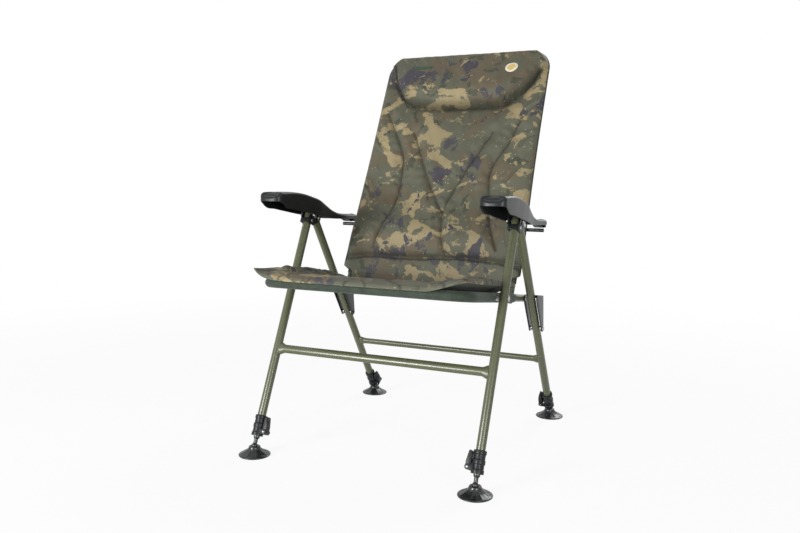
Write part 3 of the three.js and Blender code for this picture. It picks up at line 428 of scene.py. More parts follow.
def woven(cloth, size, depth, under=None):
    """Plain weave: sin(across) * sin(along) on the piece's own cloth coordinates, with slubs in the threads."""
    place = cloth.node("ShaderNodeUVMap", {"uv_map": "cloth"}, {})
    step = 2 * math.pi / (size * MM)
    slub = place.stretched((1.0, 0.15, 1.0)).noise(900.0, 2.0, 0.5)
    weave = (place.part(0) * step).sine() * (place.part(1) * step).sine() + slub * 1.5
    return weave.bump(depth * MM, 0.5, under)


# Patches of the camouflage over its ground: colour, scale, seed, level, fray, warp and squeeze
PATCHES = (
    (tone(91, 83, 66), 9.0, 4.0, 0.52, 0.16, 1.0),
    (tone(64, 67, 53), 13.0, 5.2, 0.60, 0.22, 0.8),
    (tone(143, 130, 98), 9.5, 6.7, 0.575, 0.24, 1.3, (0.8, 0.8, 1.15)),
    (tone(60, 58, 64), 10.5, 9.1, 0.60, 0.36, 1.1, (1.1, 1.1, 0.8)),
    (tone(134, 122, 92), 22.0, 10.4, 0.66, 0.30, 0.9),
)


def camouflage_cloth():
    """Printed polyester: ragged patches of olive, brown, tan and dark slate over one another, with pale flecks."""
    cloth = Finish("camouflage_cloth")
    ragged = cloth.noise(62.0, 5.0, 0.72, 0.4, seed=12.0)
    spray = cloth.noise(360.0, 3.0, 0.7, seed=7.0)

    def patch(scale, seed, level, fray, warp, squeeze=(1.0, 1.0, 1.0)):
        """Share of one colour: a broad noise, frayed by two finer ones, cut at a level."""
        broad = cloth.stretched(squeeze).noise(scale, 3.0, 0.5, warp, seed=seed)
        frayed = broad + (ragged - 0.5) * fray + (spray - 0.5) * 0.05
        return frayed.between(level, level + 0.014)

    colour = tone(85, 86, 71)
    for above, *settings in PATCHES:
        colour = patch(*settings).over(colour, above)
    chance = cloth.noise(34.0, 3.0, 0.55, seed=5.5)
    flecks = (1 - cloth.cells(95.0).between(0.11, 0.16)) * chance.between(0.5, 0.56)
    colour = flecks.over(colour, tone(168, 162, 138))
    cloud = cloth.noise(6.0, 2.0, 0.5, seed=8.0)
    colour = (cloud.between(0.35, 0.7) * 0.22).over(colour, tone(60, 60, 50))
    # Dark thread of the sewn lines, plus painted shade in the back cushion's two deepest creases.
    colour = (cloth.own("seam") * 0.75).over(colour, tone(34, 34, 27))
    colour = cloth.own("lining").over(colour, tone(56, 64, 50))
    crinkle = cloth.noise(36.0, 3.0, 0.55, 0.4, seed=6.0)
    normal = crinkle.bump(0.0013, 0.55, woven(cloth, 0.9, 0.05))
    return cloth.set({
        "Base Color": colour, "Roughness": spray.between(0.2, 0.8) * 0.12 + 0.58, "Normal": normal,
        "Sheen Weight": 0.04, "Specular IOR Level": 0.28,
    })


def plain_cloth(name, light, dark, size=0.9, depth=0.06):
    """Plain woven cloth with faint darker threads and creases."""
    cloth = Finish(name)
    mottle = cloth.noise(48.0, 4.0, 0.6)
    thread = cloth.stretched((1.0, 0.2, 1.0)).noise(900.0, 2.0, 0.5)
    shade = (mottle.between(0.35, 0.7) * 0.6).over(light, dark)
    shade = (thread.between(0.52, 0.7) * 0.3).over(shade, dark)
    normal = cloth.noise(40.0, 3.0, 0.55, 0.3).bump(0.0011, 0.4, woven(cloth, size, depth))
    return cloth.set({
        "Base Color": shade, "Roughness": mottle * 0.15 + 0.68, "Normal": normal, "Sheen Weight": 0.1,
        "Specular IOR Level": 0.35,
    })


def olive_paint():
    """Powder coat on steel tube: fine orange peel, faint dust in patches and scuffs along the tube."""
    paint = Finish("olive_powder_coat")
    cloud = paint.noise(14.0, 4.0, 0.6)
    scuff = paint.stretched((1.0, 1.0, 0.15)).noise(80.0, 5.0, 0.8)
    colour = (cloud.between(0.35, 0.7) * 0.4).over(tone(80, 84, 60), tone(66, 70, 49))
    colour = (scuff.between(0.66, 0.74) * 0.4).over(colour, tone(112, 114, 90))
    return paint.set({
        "Base Color": colour, "Roughness": cloud * 0.14 + scuff.between(0.5, 0.75) * 0.1 + 0.2,
        "Normal": paint.noise(700.0, 2.0, 0.5).bump(0.00012, 0.3), "Coat Weight": 0.08, "Coat Roughness": 0.2,
        "Specular IOR Level": 0.4,
    })


def moulded_plastic(name, colour, rough, worn, grain=0.00008, gloss=0.5):
    """Moulded nylon: fine grain, faint flow marks and dull rubbed places."""
    plastic = Finish(name)
    cloud = plastic.noise(24.0, 4.0, 0.6)
    rubbed = plastic.noise(120.0, 5.0, 0.75, 0.3, seed=3.0).between(0.58, 0.72)
    shade = (cloud.between(0.4, 0.75) * 0.5).over(colour, worn)
    shade = (rubbed * 0.35).over(shade, worn)
    return plastic.set({
        "Base Color": shade, "Roughness": cloud * 0.14 + rubbed * 0.1 + rough,
        "Normal": plastic.noise(1500.0, 2.0, 0.6).bump(grain, 0.6), "Specular IOR Level": gloss,
    })


def zinc_plate(name, light, dark, rough):
    """Plated pins and bolts: clouded zinc with faint turning marks."""
    metal = Finish(name)
    cloud = metal.noise(160.0, 4.0, 0.6)
    turning = metal.stretched((0.2, 1.0, 1.0)).noise(1400.0, 2.0, 0.5)
    return metal.set({
        "Base Color": (cloud.between(0.35, 0.7) * 0.6).over(light, dark), "Metallic": 1.0,
        "Roughness": cloud * 0.2 + rough, "Normal": turning.bump(0.00005, 0.5),
    })


def badge_enamel():
    """Plain pale disc with a soft golden middle and a faint cloudy grain, as a moulded rubber patch has."""
    patch = Finish("badge_enamel")
    share = patch.own("reach")
    cloud = patch.noise(140.0, 3.0, 0.6)
    colour = share.between(0.6, 0.68).over(tone(205, 172, 92), tone(224, 219, 200))
    colour = (cloud.between(0.4, 0.7) * 0.35).over(colour, tone(214, 200, 160))
    return patch.set({
        "Base Color": colour, "Roughness": cloud * 0.1 + 0.42, "Normal": cloud.bump(0.0003, 0.5),
    })


CAMOUFLAGE = camouflage_cloth()
GREEN_CLOTH = plain_cloth("dark_green_cloth", tone(48, 58, 46), tone(30, 38, 31))
BINDING = plain_cloth("edge_binding", tone(34, 42, 34), tone(22, 28, 23), 1.4, 0.12)
LABEL_WEAVE = plain_cloth("label_weave", tone(46, 74, 52), tone(34, 54, 40), 0.7, 0.08)
OLIVE = olive_paint()
SATIN_BLACK = moulded_plastic("satin_black_plastic", tone(18, 22, 23), 0.3, tone(30, 34, 34), gloss=0.27)
GLOSS_BLACK = moulded_plastic("gloss_black_plastic", tone(20, 23, 24), 0.24, tone(38, 40, 40), 0.00005, 0.5)
ZINC = zinc_plate("zinc_plate", tone(172, 174, 172), tone(122, 124, 124), 0.24)
DARK_ZINC = zinc_plate("dark_plated_steel", tone(60, 62, 60), tone(34, 36, 36), 0.3)
BADGE = badge_enamel()

# Finishes of each material slot, the one for the CAD's own solids first
FINISHES = {
    "green_paint": [OLIVE], "black_plastic": [SATIN_BLACK, GLOSS_BLACK], "zinc": [ZINC, DARK_ZINC],
    "camo_fabric": [CAMOUFLAGE], "dark_fabric": [GREEN_CLOTH, BINDING, LABEL_WEAVE, BADGE],
}
SLOT_OF = {finish.name: slot for slot, finishes in FINISHES.items() for finish in finishes}
for subpart in frame["record"]["subparts"]:
    for material_slot in frame["nodes"][subpart["node"]].material_slots:
        material_slot.material = FINISHES[subpart["material_slot"]][0]


# Sewn lines and soft forms
def along_line(x, u, line):
    """Distance from each point to a polyline, and how far along the line its nearest point lies."""
    line = np.asarray(line, float)
    best = np.full(np.shape(x), np.inf)
    where = np.zeros(np.shape(x))
    start = 0.0
    for a, b in zip(line[:-1], line[1:]):
        step = b - a
        length = float(np.hypot(*step))
        share = np.clip(((x - a[0]) * step[0] + (u - a[1]) * step[1]) / length ** 2, 0, 1)
        gap = np.hypot(x - a[0] - share * step[0], u - a[1] - share * step[1])
        nearer = gap < best
        best = np.where(nearer, gap, best)
        where = np.where(nearer, start + share * length, where)
        start += length
    return best, where


def smooth_line(points, steps=8):
    """Polyline rounded by a cubic curve through each of its points."""
    p = np.asarray(points, float)
    p = np.concatenate([[2 * p[0] - p[1]], p, [2 * p[-1] - p[-2]]])
    t = np.linspace(0, 1, steps, endpoint=False)[:, None]
    parts = [
        0.5 * ((2 * b) + (c - a) * t + (2 * a - 5 * b + 4 * c - d) * t ** 2 + (3 * b - a - 3 * c + d) * t ** 3)
        for a, b, c, d in zip(p[:-3], p[1:-2], p[2:-1], p[3:])
    ]
    return np.concatenate(parts + [p[-2][None]])


def rim(distance, radius):
    """Quarter circle: 0 on the rim, 1 from one radius inside it."""
    share = np.clip(distance / radius, 0, 1)
    return np.sqrt(np.clip(1 - (1 - share) ** 2, 0, 1))


def bell(distance, width):
    """exp(-(distance / width)^2): 1 in the middle, fading outwards."""
    return np.exp(-(distance / width) ** 2)


def step_up(value, low, high):
    """0 below low, 1 above high, and 3 s^2 - 2 s^3 between them."""
    share = np.clip((value - low) / (high - low), 0, 1)
    return share * share * (3 - 2 * share)


def puckers(gap, phase, sway, drift, width, clear):
    """Gathers along a seam: sin(phase + sway * sin(drift)), fading out across it and at the thread itself."""
    return np.sin(phase + sway * np.sin(drift)) * bell(gap, width) * (1 - bell(gap, clear))


def creases(x, u, seed, sizes, turn=0.0):
    """Soft creases: a sum of sine waves with fixed random directions and phases."""
    dice = np.random.default_rng(seed)
    total = np.zeros(np.broadcast(x, u).shape)
    for size in sizes:
        angle, phase, bend = turn + dice.normal(0, 0.5), *dice.uniform(0, 2 * np.pi, 2)
        wave = 2 * np.pi / size
        along = x * math.cos(angle) + u * math.sin(angle)
        off = -x * math.sin(angle) + u * math.cos(angle)
        total += np.sin(along * wave + phase + 1.3 * np.sin(off * wave * 0.4 + bend))
    return total / len(sizes)


def skin(place, x, u, upper, lower):
    """Two grids over the same points, which meet round their rim, as the two parts of one closed form."""
    uv = stacked(x, u)
    faces = grid_faces(*x.shape)
    return [(place(upper), faces, uv), (place(lower), faces[:, ::-1], uv)]


# Back cushion: sewn lines as (x, up the rails)
PILLOW_SEAM = [
    (-233, 730), (-208, 653), (-174, 602), (-141, 582), (-47, 570), (95, 571), (147, 578), (206, 634), (234, 691),
]
BACK_SEAMS = [
    [(-121, 486), (-53, 341), (-5, 259), (16, 232)],
    [(124, 487), (101, 437), (70, 375), (40, 303), (16, 232)],
    [(-223, 554), (-157, 439), (-137, 369), (-137, 261), (-160, 182), (-178, 111)],
    [(205, 536), (173, 442), (142, 381), (138, 327), (157, 220), (194, 119)],
    [(18, 221), (34, 137), (48, 95)],
]
EDGE_FOLDS = [
    [(253, 580), (228, 562), (205, 536)], [(258, 408), (220, 370), (186, 327)], [(-256, 330), (-232, 300), (-205, 262)],
    [(256, 480), (232, 468), (214, 440)], [(-250, 480), (-226, 452), (-196, 430)],
]
ROLL_CREASE = [(-270, 80), (-168, 92), (-84, 89), (42, 93), (123, 95), (198, 89), (262, 83)]
BACK_BOTTOM, BACK_TOP, BACK_CORNER, BACK_LOW_CORNER = 17.0, 763.0, 62.0, 16.0
BACK_FACE = -10.3
BACK_FILL, PILLOW_FILL, LUMBAR_SWELL, ROLL_SWELL = 16.0, 36.0, 15.0, 6.0
BACK_WEDGE = math.tan(math.radians(17.0))
THREAD_WIDTH = 2.6


def back_half_width(u):
    """Half width of the back cushion: a straight taper, a slight waist, round upper corners, small lower ones
    and a narrower foot between the seat tubes."""
    share = (u - BACK_BOTTOM) / (BACK_TOP - BACK_BOTTOM)
    over = np.clip(u - (BACK_TOP - BACK_CORNER), 0, BACK_CORNER)
    under = np.clip(BACK_BOTTOM + BACK_LOW_CORNER - u, 0, BACK_LOW_CORNER)
    corners = np.sqrt(BACK_CORNER ** 2 - over ** 2) - BACK_CORNER
    corners = corners + np.sqrt(BACK_LOW_CORNER ** 2 - under ** 2) - BACK_LOW_CORNER
    return 266.0 - 10.0 * share - 3.0 * np.sin(np.pi * share) ** 2 + corners - 26.0 * step_up(58.0 - u, 0.0, 14.0)


def back_height(x, u):
    """How far the back cushion stands out of its rear face: a rounded rim, a pillow, a lumbar swell and a bottom roll,
    less the grooves of its sewn lines and their puckers, and never past the wedge that the folded seat leaves."""
    half = back_half_width(u)
    edge = np.minimum(np.minimum(half - np.abs(x), BACK_TOP - u), u - BACK_BOTTOM)
    body = BACK_FILL + 5.0 * rim(edge, 120.0)
    gap, where = along_line(x, u, smooth_line(PILLOW_SEAM))
    above = u > np.interp(x, *zip(*PILLOW_SEAM))
    fill = PILLOW_FILL * rim(gap, 50.0) * (0.22 + 0.78 * step_up(BACK_TOP - u, 10.0, 150.0))
    body = body + np.where(above, fill * rim(edge + 4.0, 60.0), 0.0)
    gather = puckers(gap, where / 7.5, 2.0, where / 31.0, 22.0, 7.0)
    body = body - 6.0 * bell(gap, 6.0) - np.where(above, 0.0, 12.0) * bell(gap, 38.0) + 1.5 * gather
    body = body + LUMBAR_SWELL * bell(u - 160.0, 62.0) * (1 - (x / 300.0) ** 4)
    gap, where = along_line(x, u, smooth_line(ROLL_CREASE))
    gather = puckers(gap, where / 9.0, 2.0, where / 37.0, 30.0, 10.0)
    body = body - 9.0 * bell(gap, 7.0) - 10.0 * bell(gap, 19.0) + ROLL_SWELL * bell(u - 50.0, 18.0) + 1.5 * gather
    for number, line in enumerate(BACK_SEAMS):
        gap, where = along_line(x, u, smooth_line(line))
        ends = rim(np.minimum(where, where.max() - where) + 12.0, 40.0)
        gather = puckers(gap, where / 6.2, 1.9, where / 23.0 + number, 30.0, 7.0)
        groove = 5.5 * bell(gap, 4.6) + 5.0 * bell(gap, 15.0) - 2.2 * bell(gap - 27.0, 13.0)
        body = body + ends * (2.0 * gather - groove)
    for line in EDGE_FOLDS:
        gap, where = along_line(x, u, smooth_line(line))
        ends = rim(where.max() - where + 8.0, 40.0)
        body = body + ends * (3.2 * bell(gap - 9.0, 7.0) - 5.5 * bell(gap, 5.0))
    body = body + 2.0 * creases(x, u, 5, (150, 110, 82, 64), 1.2) + 1.1 * creases(x, u, 8, (46, 34, 27), 0.5)
    wedge = BACK_WEDGE * u + BACK_FACE
    body = np.clip(body, 4.0, None) * rim(edge, 19.0)
    return np.minimum(body, np.maximum(wedge, 2.0) * rim(edge, 6.0))


def cushion_grid(rows, columns, low, high):
    """Grid finer towards its rims: sin from -1 to 1 across, and the same between two ends along."""
    across, along = (np.sin(np.linspace(-0.5, 0.5, count) * np.pi) for count in (columns, rows))
    along = np.broadcast_to((low + (high - low) * (0.5 + 0.5 * along))[:, None], (rows, columns))
    return np.broadcast_to(across[None, :], (rows, columns)), along


def back_cushion():
    """Closed skin of the cushion, and its sewn lines with painted shade along the two deepest creases."""
    across, u = cushion_grid(330, 230, BACK_BOTTOM, BACK_TOP)
    x = across * back_half_width(u)
    face, rear = BACK_FACE - back_height(x, u), np.full_like(x, BACK_FACE)
    parts = skin(lambda behind: on_back(x, behind, u), x, u, face, rear)
    widths = [(line, THREAD_WIDTH, 1.0) for line in BACK_SEAMS + [PILLOW_SEAM, ROLL_CREASE]]
    # Wide bands along the pillow seam and the bottom roll crease: painted shade in the two deepest creases, on top of
    # the dark sewn threads.
    widths += [(PILLOW_SEAM, 15.0, 0.45), (ROLL_CREASE, 17.0, 0.5)]
    lines = [share * bell(along_line(x, u, smooth_line(line))[0], width) for line, width, share in widths]
    seam = (np.max(lines, axis=0), x * 0)
    return make("back_cushion_cover", parts, CAMOUFLAGE, "backrest", "back_cushion", seam=seam)


def back_binding():
    """Sewn binding round the rear rim: a tube along the cushion's outline."""
    u = BACK_BOTTOM + 4.0 + (BACK_TOP - BACK_BOTTOM - 4.0) * np.sin(np.linspace(0, 0.5, 120) * np.pi)
    side = np.stack([back_half_width(u) - 0.6, np.full_like(u, BACK_FACE - 1.2), u], axis=-1)
    path = np.concatenate([side, (side * (-1, 1, 1))[::-1]])
    path = on_back(path[:, 0], path[:, 1], path[:, 2])
    across = on_back(0, 1, 0) - on_back(0, 0, 0)
    make("back_edge_binding", [tube(path, across, 2.6, 10)], BINDING, "backrest")


# Seat cushion and sling as (x, back along the rails)
SEAT_HALF, SEAT_FRONT, SEAT_REAR = 274.0, -212.0, HINGE_REACH - 58.8
SEAT_FILL, SEAT_WEDGE, CHANNEL_PITCH = 26.0, math.tan(math.radians(15.5)), 92.0


def sling_height(x, v):
    """Upper side of the sling over the seat frame's plane: flat over the tubes and hanging inside them."""
    right = np.abs(x) - (SEAT_RAIL_X - SEAT_BEND)
    ahead = -v + SEAT_FRONT_BAR + SEAT_BEND
    outside = np.hypot(np.maximum(right, 0), np.maximum(ahead, 0)) + np.minimum(np.maximum(right, ahead), 0)
    share = np.clip((SEAT_BEND - outside - 22.0) / 170.0, 0, 1)
    return 12.8 - 26.0 * (1 - (1 - share) ** 2)


def seat_base(x, v):
    """Underside of the seat cushion: on the sling, drooping over the front tube, with both sides curled up and the
    left front corner of the sitter raised most."""
    ahead = np.clip(SEAT_FRONT_BAR - v, 0, None) / 22.0
    out = np.clip(np.abs(x) / SEAT_HALF, 0, 1)
    front = step_up(SEAT_FRONT + 90.0 - v, 0.0, 90.0)
    right = 16.0 * out ** 8 + 2.0 * front * out ** 8
    left = (13.0 + 5.0 * front) * out ** 12
    lifted = np.where(x > 0, right, left)
    raised = step_up(x, 178.0, 292.0) ** 0.8
    droop = 8.0 * ahead ** 2 * (1 - out ** 14) * (1 - raised)
    peak = 13.0 * raised * (1 - out ** 8) * front ** 2
    return sling_height(x, np.maximum(v, SEAT_FRONT_BAR)) + 0.4 + lifted + peak - droop


def channel_gap(x, v):
    """Distance from the nearest sewn channel; the channels run forwards and outwards from the middle."""
    channel = (np.abs(x - 6.0) + v + 8.0 * np.sin(x / 60.0)) / CHANNEL_PITCH
    return (channel - np.round(channel)) * CHANNEL_PITCH / math.sqrt(2)


def seat_thickness(x, v):
    """Filling of the seat cushion: thin along the front hem, a rounded rim, raised sides and diagonal sewn channels,
    inside the fold's wedge."""
    edge = np.minimum(np.minimum(SEAT_HALF - np.abs(x), v - SEAT_FRONT), SEAT_REAR - v)
    from_hinge = HINGE_REACH - v
    body = np.minimum(SEAT_FILL, SEAT_WEDGE * from_hinge - seat_base(x, v))
    body = body + np.clip(13.0 * (x / SEAT_HALF) ** 4 * np.clip(from_hinge / 144.0 - 0.5, 0, 1), 0, None)
    body = body * (0.3 + 0.7 * step_up(v - SEAT_FRONT, 2.0, 105.0))
    body = body * (0.4 + 0.6 * step_up(SEAT_HALF - np.abs(x), 3.0, 46.0))
    off = channel_gap(x, v)
    gather = puckers(off, (np.abs(x) - v) / 6.3, 1.7, v / 21.0, 22.0, 6.0)
    inner = step_up(edge, 4.0, 30.0)
    body = body + inner * (1.4 * gather - 4.5 * bell(off, 5.5) - 2.5 * bell(off, 14.0))
    body = body + inner * (1.3 * creases(x, v, 11, (120, 90, 66), 0.9) + 0.7 * creases(x, v, 12, (40, 31), 0.4))
    return np.clip(body, 5.0, None) * rim(edge, 5.0)


def seat_cushion():
    """Upper skin of face cloth over an underside of plain lining."""
    across, v = cushion_grid(210, 250, SEAT_FRONT, SEAT_REAR)
    x = across * SEAT_HALF
    base, thick = seat_base(x, v), seat_thickness(x, v)
    parts = skin(lambda up: on_seat(x, v, up), x, v, base + thick, base)
    seam = (bell(channel_gap(x, v), THREAD_WIDTH), x * 0)
    return make("seat_cushion_cover", parts, CAMOUFLAGE, "seat", "seat_cushion", lining=(x * 0, x * 0 + 1), seam=seam)


def wrapped_sheet(path, spine, deck, radius, last):
    """Cloth over a hoop: straight rows from a middle line out to the hoop's path, at the deck's height, then round the
    hoop's tube on a circle of the radius, from its top to the last angle."""
    ahead = unit(np.gradient(path, axis=0))
    out = np.stack([-ahead[:, 1], ahead[:, 0]], axis=-1)
    share = np.sin(np.linspace(0, 0.5, 26) * np.pi)[:, None, None]
    flat = spine[None] + (path - spine)[None] * share
    turn = np.radians(np.linspace(90.0, last, 16))[1:, None]
    wrap = path[None] + out[None] * (radius * np.cos(turn))[..., None]
    plan = np.concatenate([flat, wrap])
    low = np.broadcast_to(radius * np.sin(turn), wrap.shape[:2])
    height = np.concatenate([deck(flat[..., 0], flat[..., 1]), low])
    girth = np.concatenate([flat, path[None] + out[None] * (radius * (np.pi / 2 - turn))[..., None]])
    return plan[..., 0], plan[..., 1], height, girth


def area_of(points):
    """Area of a grid in square metres: half the cross product of the diagonals of each of its faces."""
    first, second = points[1:, 1:] - points[:-1, :-1], points[1:, :-1] - points[:-1, 1:]
    return float(np.linalg.norm(np.cross(first, second), axis=-1).sum()) / 2 * MM * MM


def hoop_path(half, low, high, bend, steps=18):
    """U in a plane: up one side, round two corners and down the other, evenly filled with points."""
    corners = bent([(half, low), (half, high), (-half, high), (-half, low)], bend, steps)
    length = np.concatenate([[0], np.cumsum(np.hypot(*np.diff(corners, axis=0).T))])
    at = np.unique(np.concatenate([length, np.linspace(0, length[-1], 150)]))
    return np.stack([np.interp(at, length, corners[:, 0]), np.interp(at, length, corners[:, 1])], axis=-1)


def seat_sling():
    path = hoop_path(SEAT_RAIL_X, -(HINGE_REACH - 50.8), -SEAT_FRONT_BAR, SEAT_BEND) * (1, -1)
    spine = np.stack([np.zeros(len(path)), np.clip(path[:, 1], -60.0, None)], axis=-1)
    x, v, up, cloth = wrapped_sheet(path, spine, lambda a, b: sling_height(a, b) - 1.4, 11.4, -95.0)
    points = on_seat(x, v, up)
    sling = make("seat_sling_cover", [(points, grid_faces(*x.shape), cloth)], GREEN_CLOTH, "seat", "seat_sling")
    thickened(sling, 1.2, 0.0)
    area_of(points)


def rear_panel():
    path = hoop_path(BACK_RAIL_X, 40.0, BACK_RAIL_TOP, BACK_BEND)[::-1]
    spine = np.stack([np.zeros(len(path)), np.clip(path[:, 1], None, 560.0)], axis=-1)

    def deck(x, u):
        """Slightly hollow between the rails."""
        inside = np.minimum(np.minimum(BACK_RAIL_X - np.abs(x), BACK_RAIL_TOP - u), 130.0) / 130.0
        return 11.0 - 5.0 * (1 - (1 - inside) ** 2) + 0.4 * creases(x, u, 21, (160, 110, 70), 0.3) * inside

    x, u, behind, cloth = wrapped_sheet(path, spine, deck, 11.0, -80.0)
    points = on_back(x, behind, u)
    panel = make("back_rear_panel_cover", [(points, grid_faces(*x.shape), cloth)], GREEN_CLOTH, "backrest",
                 "back_rear_panel")
    thickened(panel, 1.2, 0.0)
    area_of(points)


def surface_patch(name, x, u, share, edge, thickness, finish):
    """Small flat piece sewn on the back cushion: it follows the cushion's face and its rim is sunk into it."""
    face = BACK_FACE - back_height(x, u)
    lower = face + 1.5
    upper = np.where(edge <= 0, lower, face - thickness * rim(edge, 1.0))
    parts = skin(lambda behind: on_back(x, behind, u), x, u, upper, lower)
    make(name, parts, finish, "backrest", reach=(share, share))


def round_badge():
    """Plain round patch: a polar grid, domed at its rim; its share runs out from the middle."""
    turn, reach = np.meshgrid(np.linspace(0, 2 * np.pi, 73), np.linspace(0, 1, 22), indexing="ij")
    radius = 19.5
    x, u = 157.0 + radius * reach * np.cos(turn), 685.0 + radius * reach * np.sin(turn)
    surface_patch("round_badge", x, u, reach, (1 - reach) * 8.0, 1.9, BADGE)


def woven_label():
    """Plain woven label, a rectangle with a sewn rim."""
    s, t = np.meshgrid(np.linspace(-1, 1, 40), np.linspace(-1, 1, 14), indexing="xy")
    half_width, half_height = 28.0, 7.5
    x, u = -124.0 + half_width * s, 702.0 + half_height * t
    edge = np.minimum((1 - np.abs(s)) * half_width, (1 - np.abs(t)) * half_height)
    surface_patch("woven_label", x, u, edge * 0, edge, 1.0, LABEL_WEAVE)


# Frame tubes
def rod_profile(radius, low, high, edge=1.2):
    """Profile of a rod: rounded at both ends on a quarter circle of the edge."""
    inset, depth = quarter(edge, 5)
    start = np.stack([radius - inset, low + depth], axis=-1)
    end = np.stack([radius - inset, high - depth], axis=-1)[::-1]
    return np.concatenate([[(0, low)], start, end, [(0, high)]])


def leg_tubes():
    """Legs from inside the lock sleeve up: the front ones end flat in the bracket, the rear ones in a dome."""
    for end, word, side in LEGS:
        top, low = LEG_LENGTH[end], SLEEVE_RISE[end] + 12.3
        profile = rod_profile(LEG_RADIUS, low, top + LEG_RADIUS)
        if end == "rear":
            rise = LEG_RADIUS * np.sin(np.linspace(0, np.pi / 2, 10))
            rounded = np.stack([np.sqrt(LEG_RADIUS ** 2 - rise ** 2), top + rise], axis=-1)
            profile = np.concatenate([profile[:6], rounded[:-1], [(0, top + LEG_RADIUS)]])
        make(f"{end}_leg_tube_{word}", [turned(profile)], OLIVE, f"{end}_frame", f"{end}_leg_{word}",
             lambda p: on_leg(p, end, side))


def crossbars():
    """Oval tubes whose height grows towards the weld at each leg."""
    for end in ENDS:
        half, depth, height = (11.0, 8.5, 256.0) if end == "front" else (9.0, 8.0, 198.5)
        x = np.concatenate([np.linspace(-286, -262, 14), np.linspace(-250, 250, 11), np.linspace(262, 286, 14)])
        tall = half + 5.5 * step_up(np.abs(x), 268.0, 284.0)
        path = np.stack([x, x * 0, x * 0], axis=-1)
        make(f"{end}_crossbar_tube", [tube(path, (0, 0, 1), tall, 36, depth / tall)], OLIVE, f"{end}_frame",
             f"{end}_crossbar", lambda p: lean(p, (0, *leg_point(end, height)), LEAN[end]))


def hoops():
    """Seat hoop with its rear bar, and back hoop with its lower bar: bent tubes, with plugs in their open ends."""
    def back_plane(x, along, off):
        return on_back(x, -off, along)

    rear = LINK_REACH + 22.0
    for name, body, plane, half, end, far, bend, bar, plug in (
        ("seat", "seat", on_seat, SEAT_RAIL_X, rear, SEAT_FRONT_BAR, SEAT_BEND,
         (262, rear - 20.0, RAIL_RADIUS, 32), -4.0),
        ("back", "backrest", back_plane, BACK_RAIL_X, -12.0, BACK_RAIL_TOP, BACK_BEND, (240, 48.0, 8.0, 28), -3.0),
    ):
        across = plane(0, 0, 1) - plane(0, 0, 0)
        path = bent([(-half, end), (-half, far), (half, far), (half, end)], bend)
        reach, level, radius, sides = bar
        tubes = [
            tube(plane(path[:, 0], path[:, 1], 0.0), across, RAIL_RADIUS, 32),
            tube(plane(np.linspace(-reach, reach, 9), level, 0.0), across, radius, sides),
        ]
        make(f"{name}_frame_tubes", tubes, OLIVE, body, f"{name}_frame")
        stopper = turned(rod_profile(9.3, plug, plug + 7.0, 2.0))
        plugs = [
            moved(stopper, lambda p: plane(p[..., 0] + side * half, p[..., 2] + end, -p[..., 1])) for side in (-1, 1)
        ]
        make(f"{name}_frame_plugs", plugs, SATIN_BLACK, body)


# Brackets and links
def top_brackets():
    """In the front leg's frame: two cheeks over both pivots and a web in front of the tube, with pressed rims."""
    dy, dz = REAR_PIVOT[0] - FOOT_Y["front"], REAR_PIVOT[1] - ANKLE
    c, s = math.cos(LEAN["front"]), math.sin(LEAN["front"])
    pivot = np.array((dy * c + dz * s, dz * c - dy * s))
    top = LEG_LENGTH["front"]
    rise = math.atan2(pivot[1] - top, pivot[0]) + math.pi / 2
    outline = np.concatenate([
        [(-14.3, top - 26.0), (-14.3, top - 12.0)], arc((0, top), 11.5, math.pi, rise),
        arc(pivot, 11.5, rise, -math.pi / 3), [(11.0, top - 26.0)],
    ])
    web = [(-14.3, top - 26.0), (-11.3, top - 26.0), (-11.3, top - 12.0), (-14.3, top - 12.0)]
    shapes = cheeks(outline, 11.3, 13.8) + [slab(softened(web, 1.0, True), -13.2, 13.2, 0.5)]
    for word, side in SIDES:
        make(f"top_bracket_plates_{word}", shapes, SATIN_BLACK, "front_frame", f"top_bracket_{word}",
             lambda p: on_leg(p, "front", side))


def rear_links():
    """Two pressed cheeks over the rear leg, joined by a bridge above it."""
    head = LINK_HEAD - LINK_FOOT
    turn = math.atan2(head[1], head[0]) + math.pi / 2
    outline = np.concatenate([
        softened([(10.0, 0.0), (-2.1, 91.0), (head[0], head[1] + 11.0)], 2.5), arc(head, 11.0, math.pi / 2, turn),
        arc((0, 0), 10.0, turn, 2 * math.pi - 0.2),
    ])
    bridge = [(-44.2, 88.5), (-2.6, 88.5), (-2.1, 91.0), (-44.2, 96.7)]
    shapes = cheeks(outline, 15.8, 18.3) + [slab(softened(bridge, 0.6, True), -17.6, 17.6, 0.4)]
    for word, side in SIDES:
        make(f"rear_link_plates_{word}", shapes, SATIN_BLACK, f"link_{word}", f"rear_link_{word}",
             lambda p: p + (side * LEG_X, *LINK_FOOT))


# Bolts, pins and bushes, turned along X
def dome(radius, face, thick, way):
    """Profile of a domed head from its rim at a face outwards, with a rounded shoulder."""
    share = np.linspace(0, np.pi / 2, 6)
    rise = thick * (0.35 + 0.65 * np.sin(share))
    return [(radius, face)] + list(zip(radius * np.cos(share) ** 0.7, face + way * rise))


def bolt_profile(radius, head, thick, low, high, collars, heads):
    """Shank between two faces with a domed head or a flat end on each, and collars between."""
    start = dome(head, low, thick, -1)[::-1] if heads[0] else [(0, low)]
    profile = list(start) + [(radius, low)]
    for near, far in collars:
        profile += [(radius, near), (head, near), (head, far), (radius, far)]
    profile.append((radius, high))
    profile += dome(head, high, thick, 1) if heads[1] else [(0, high)]
    return profile


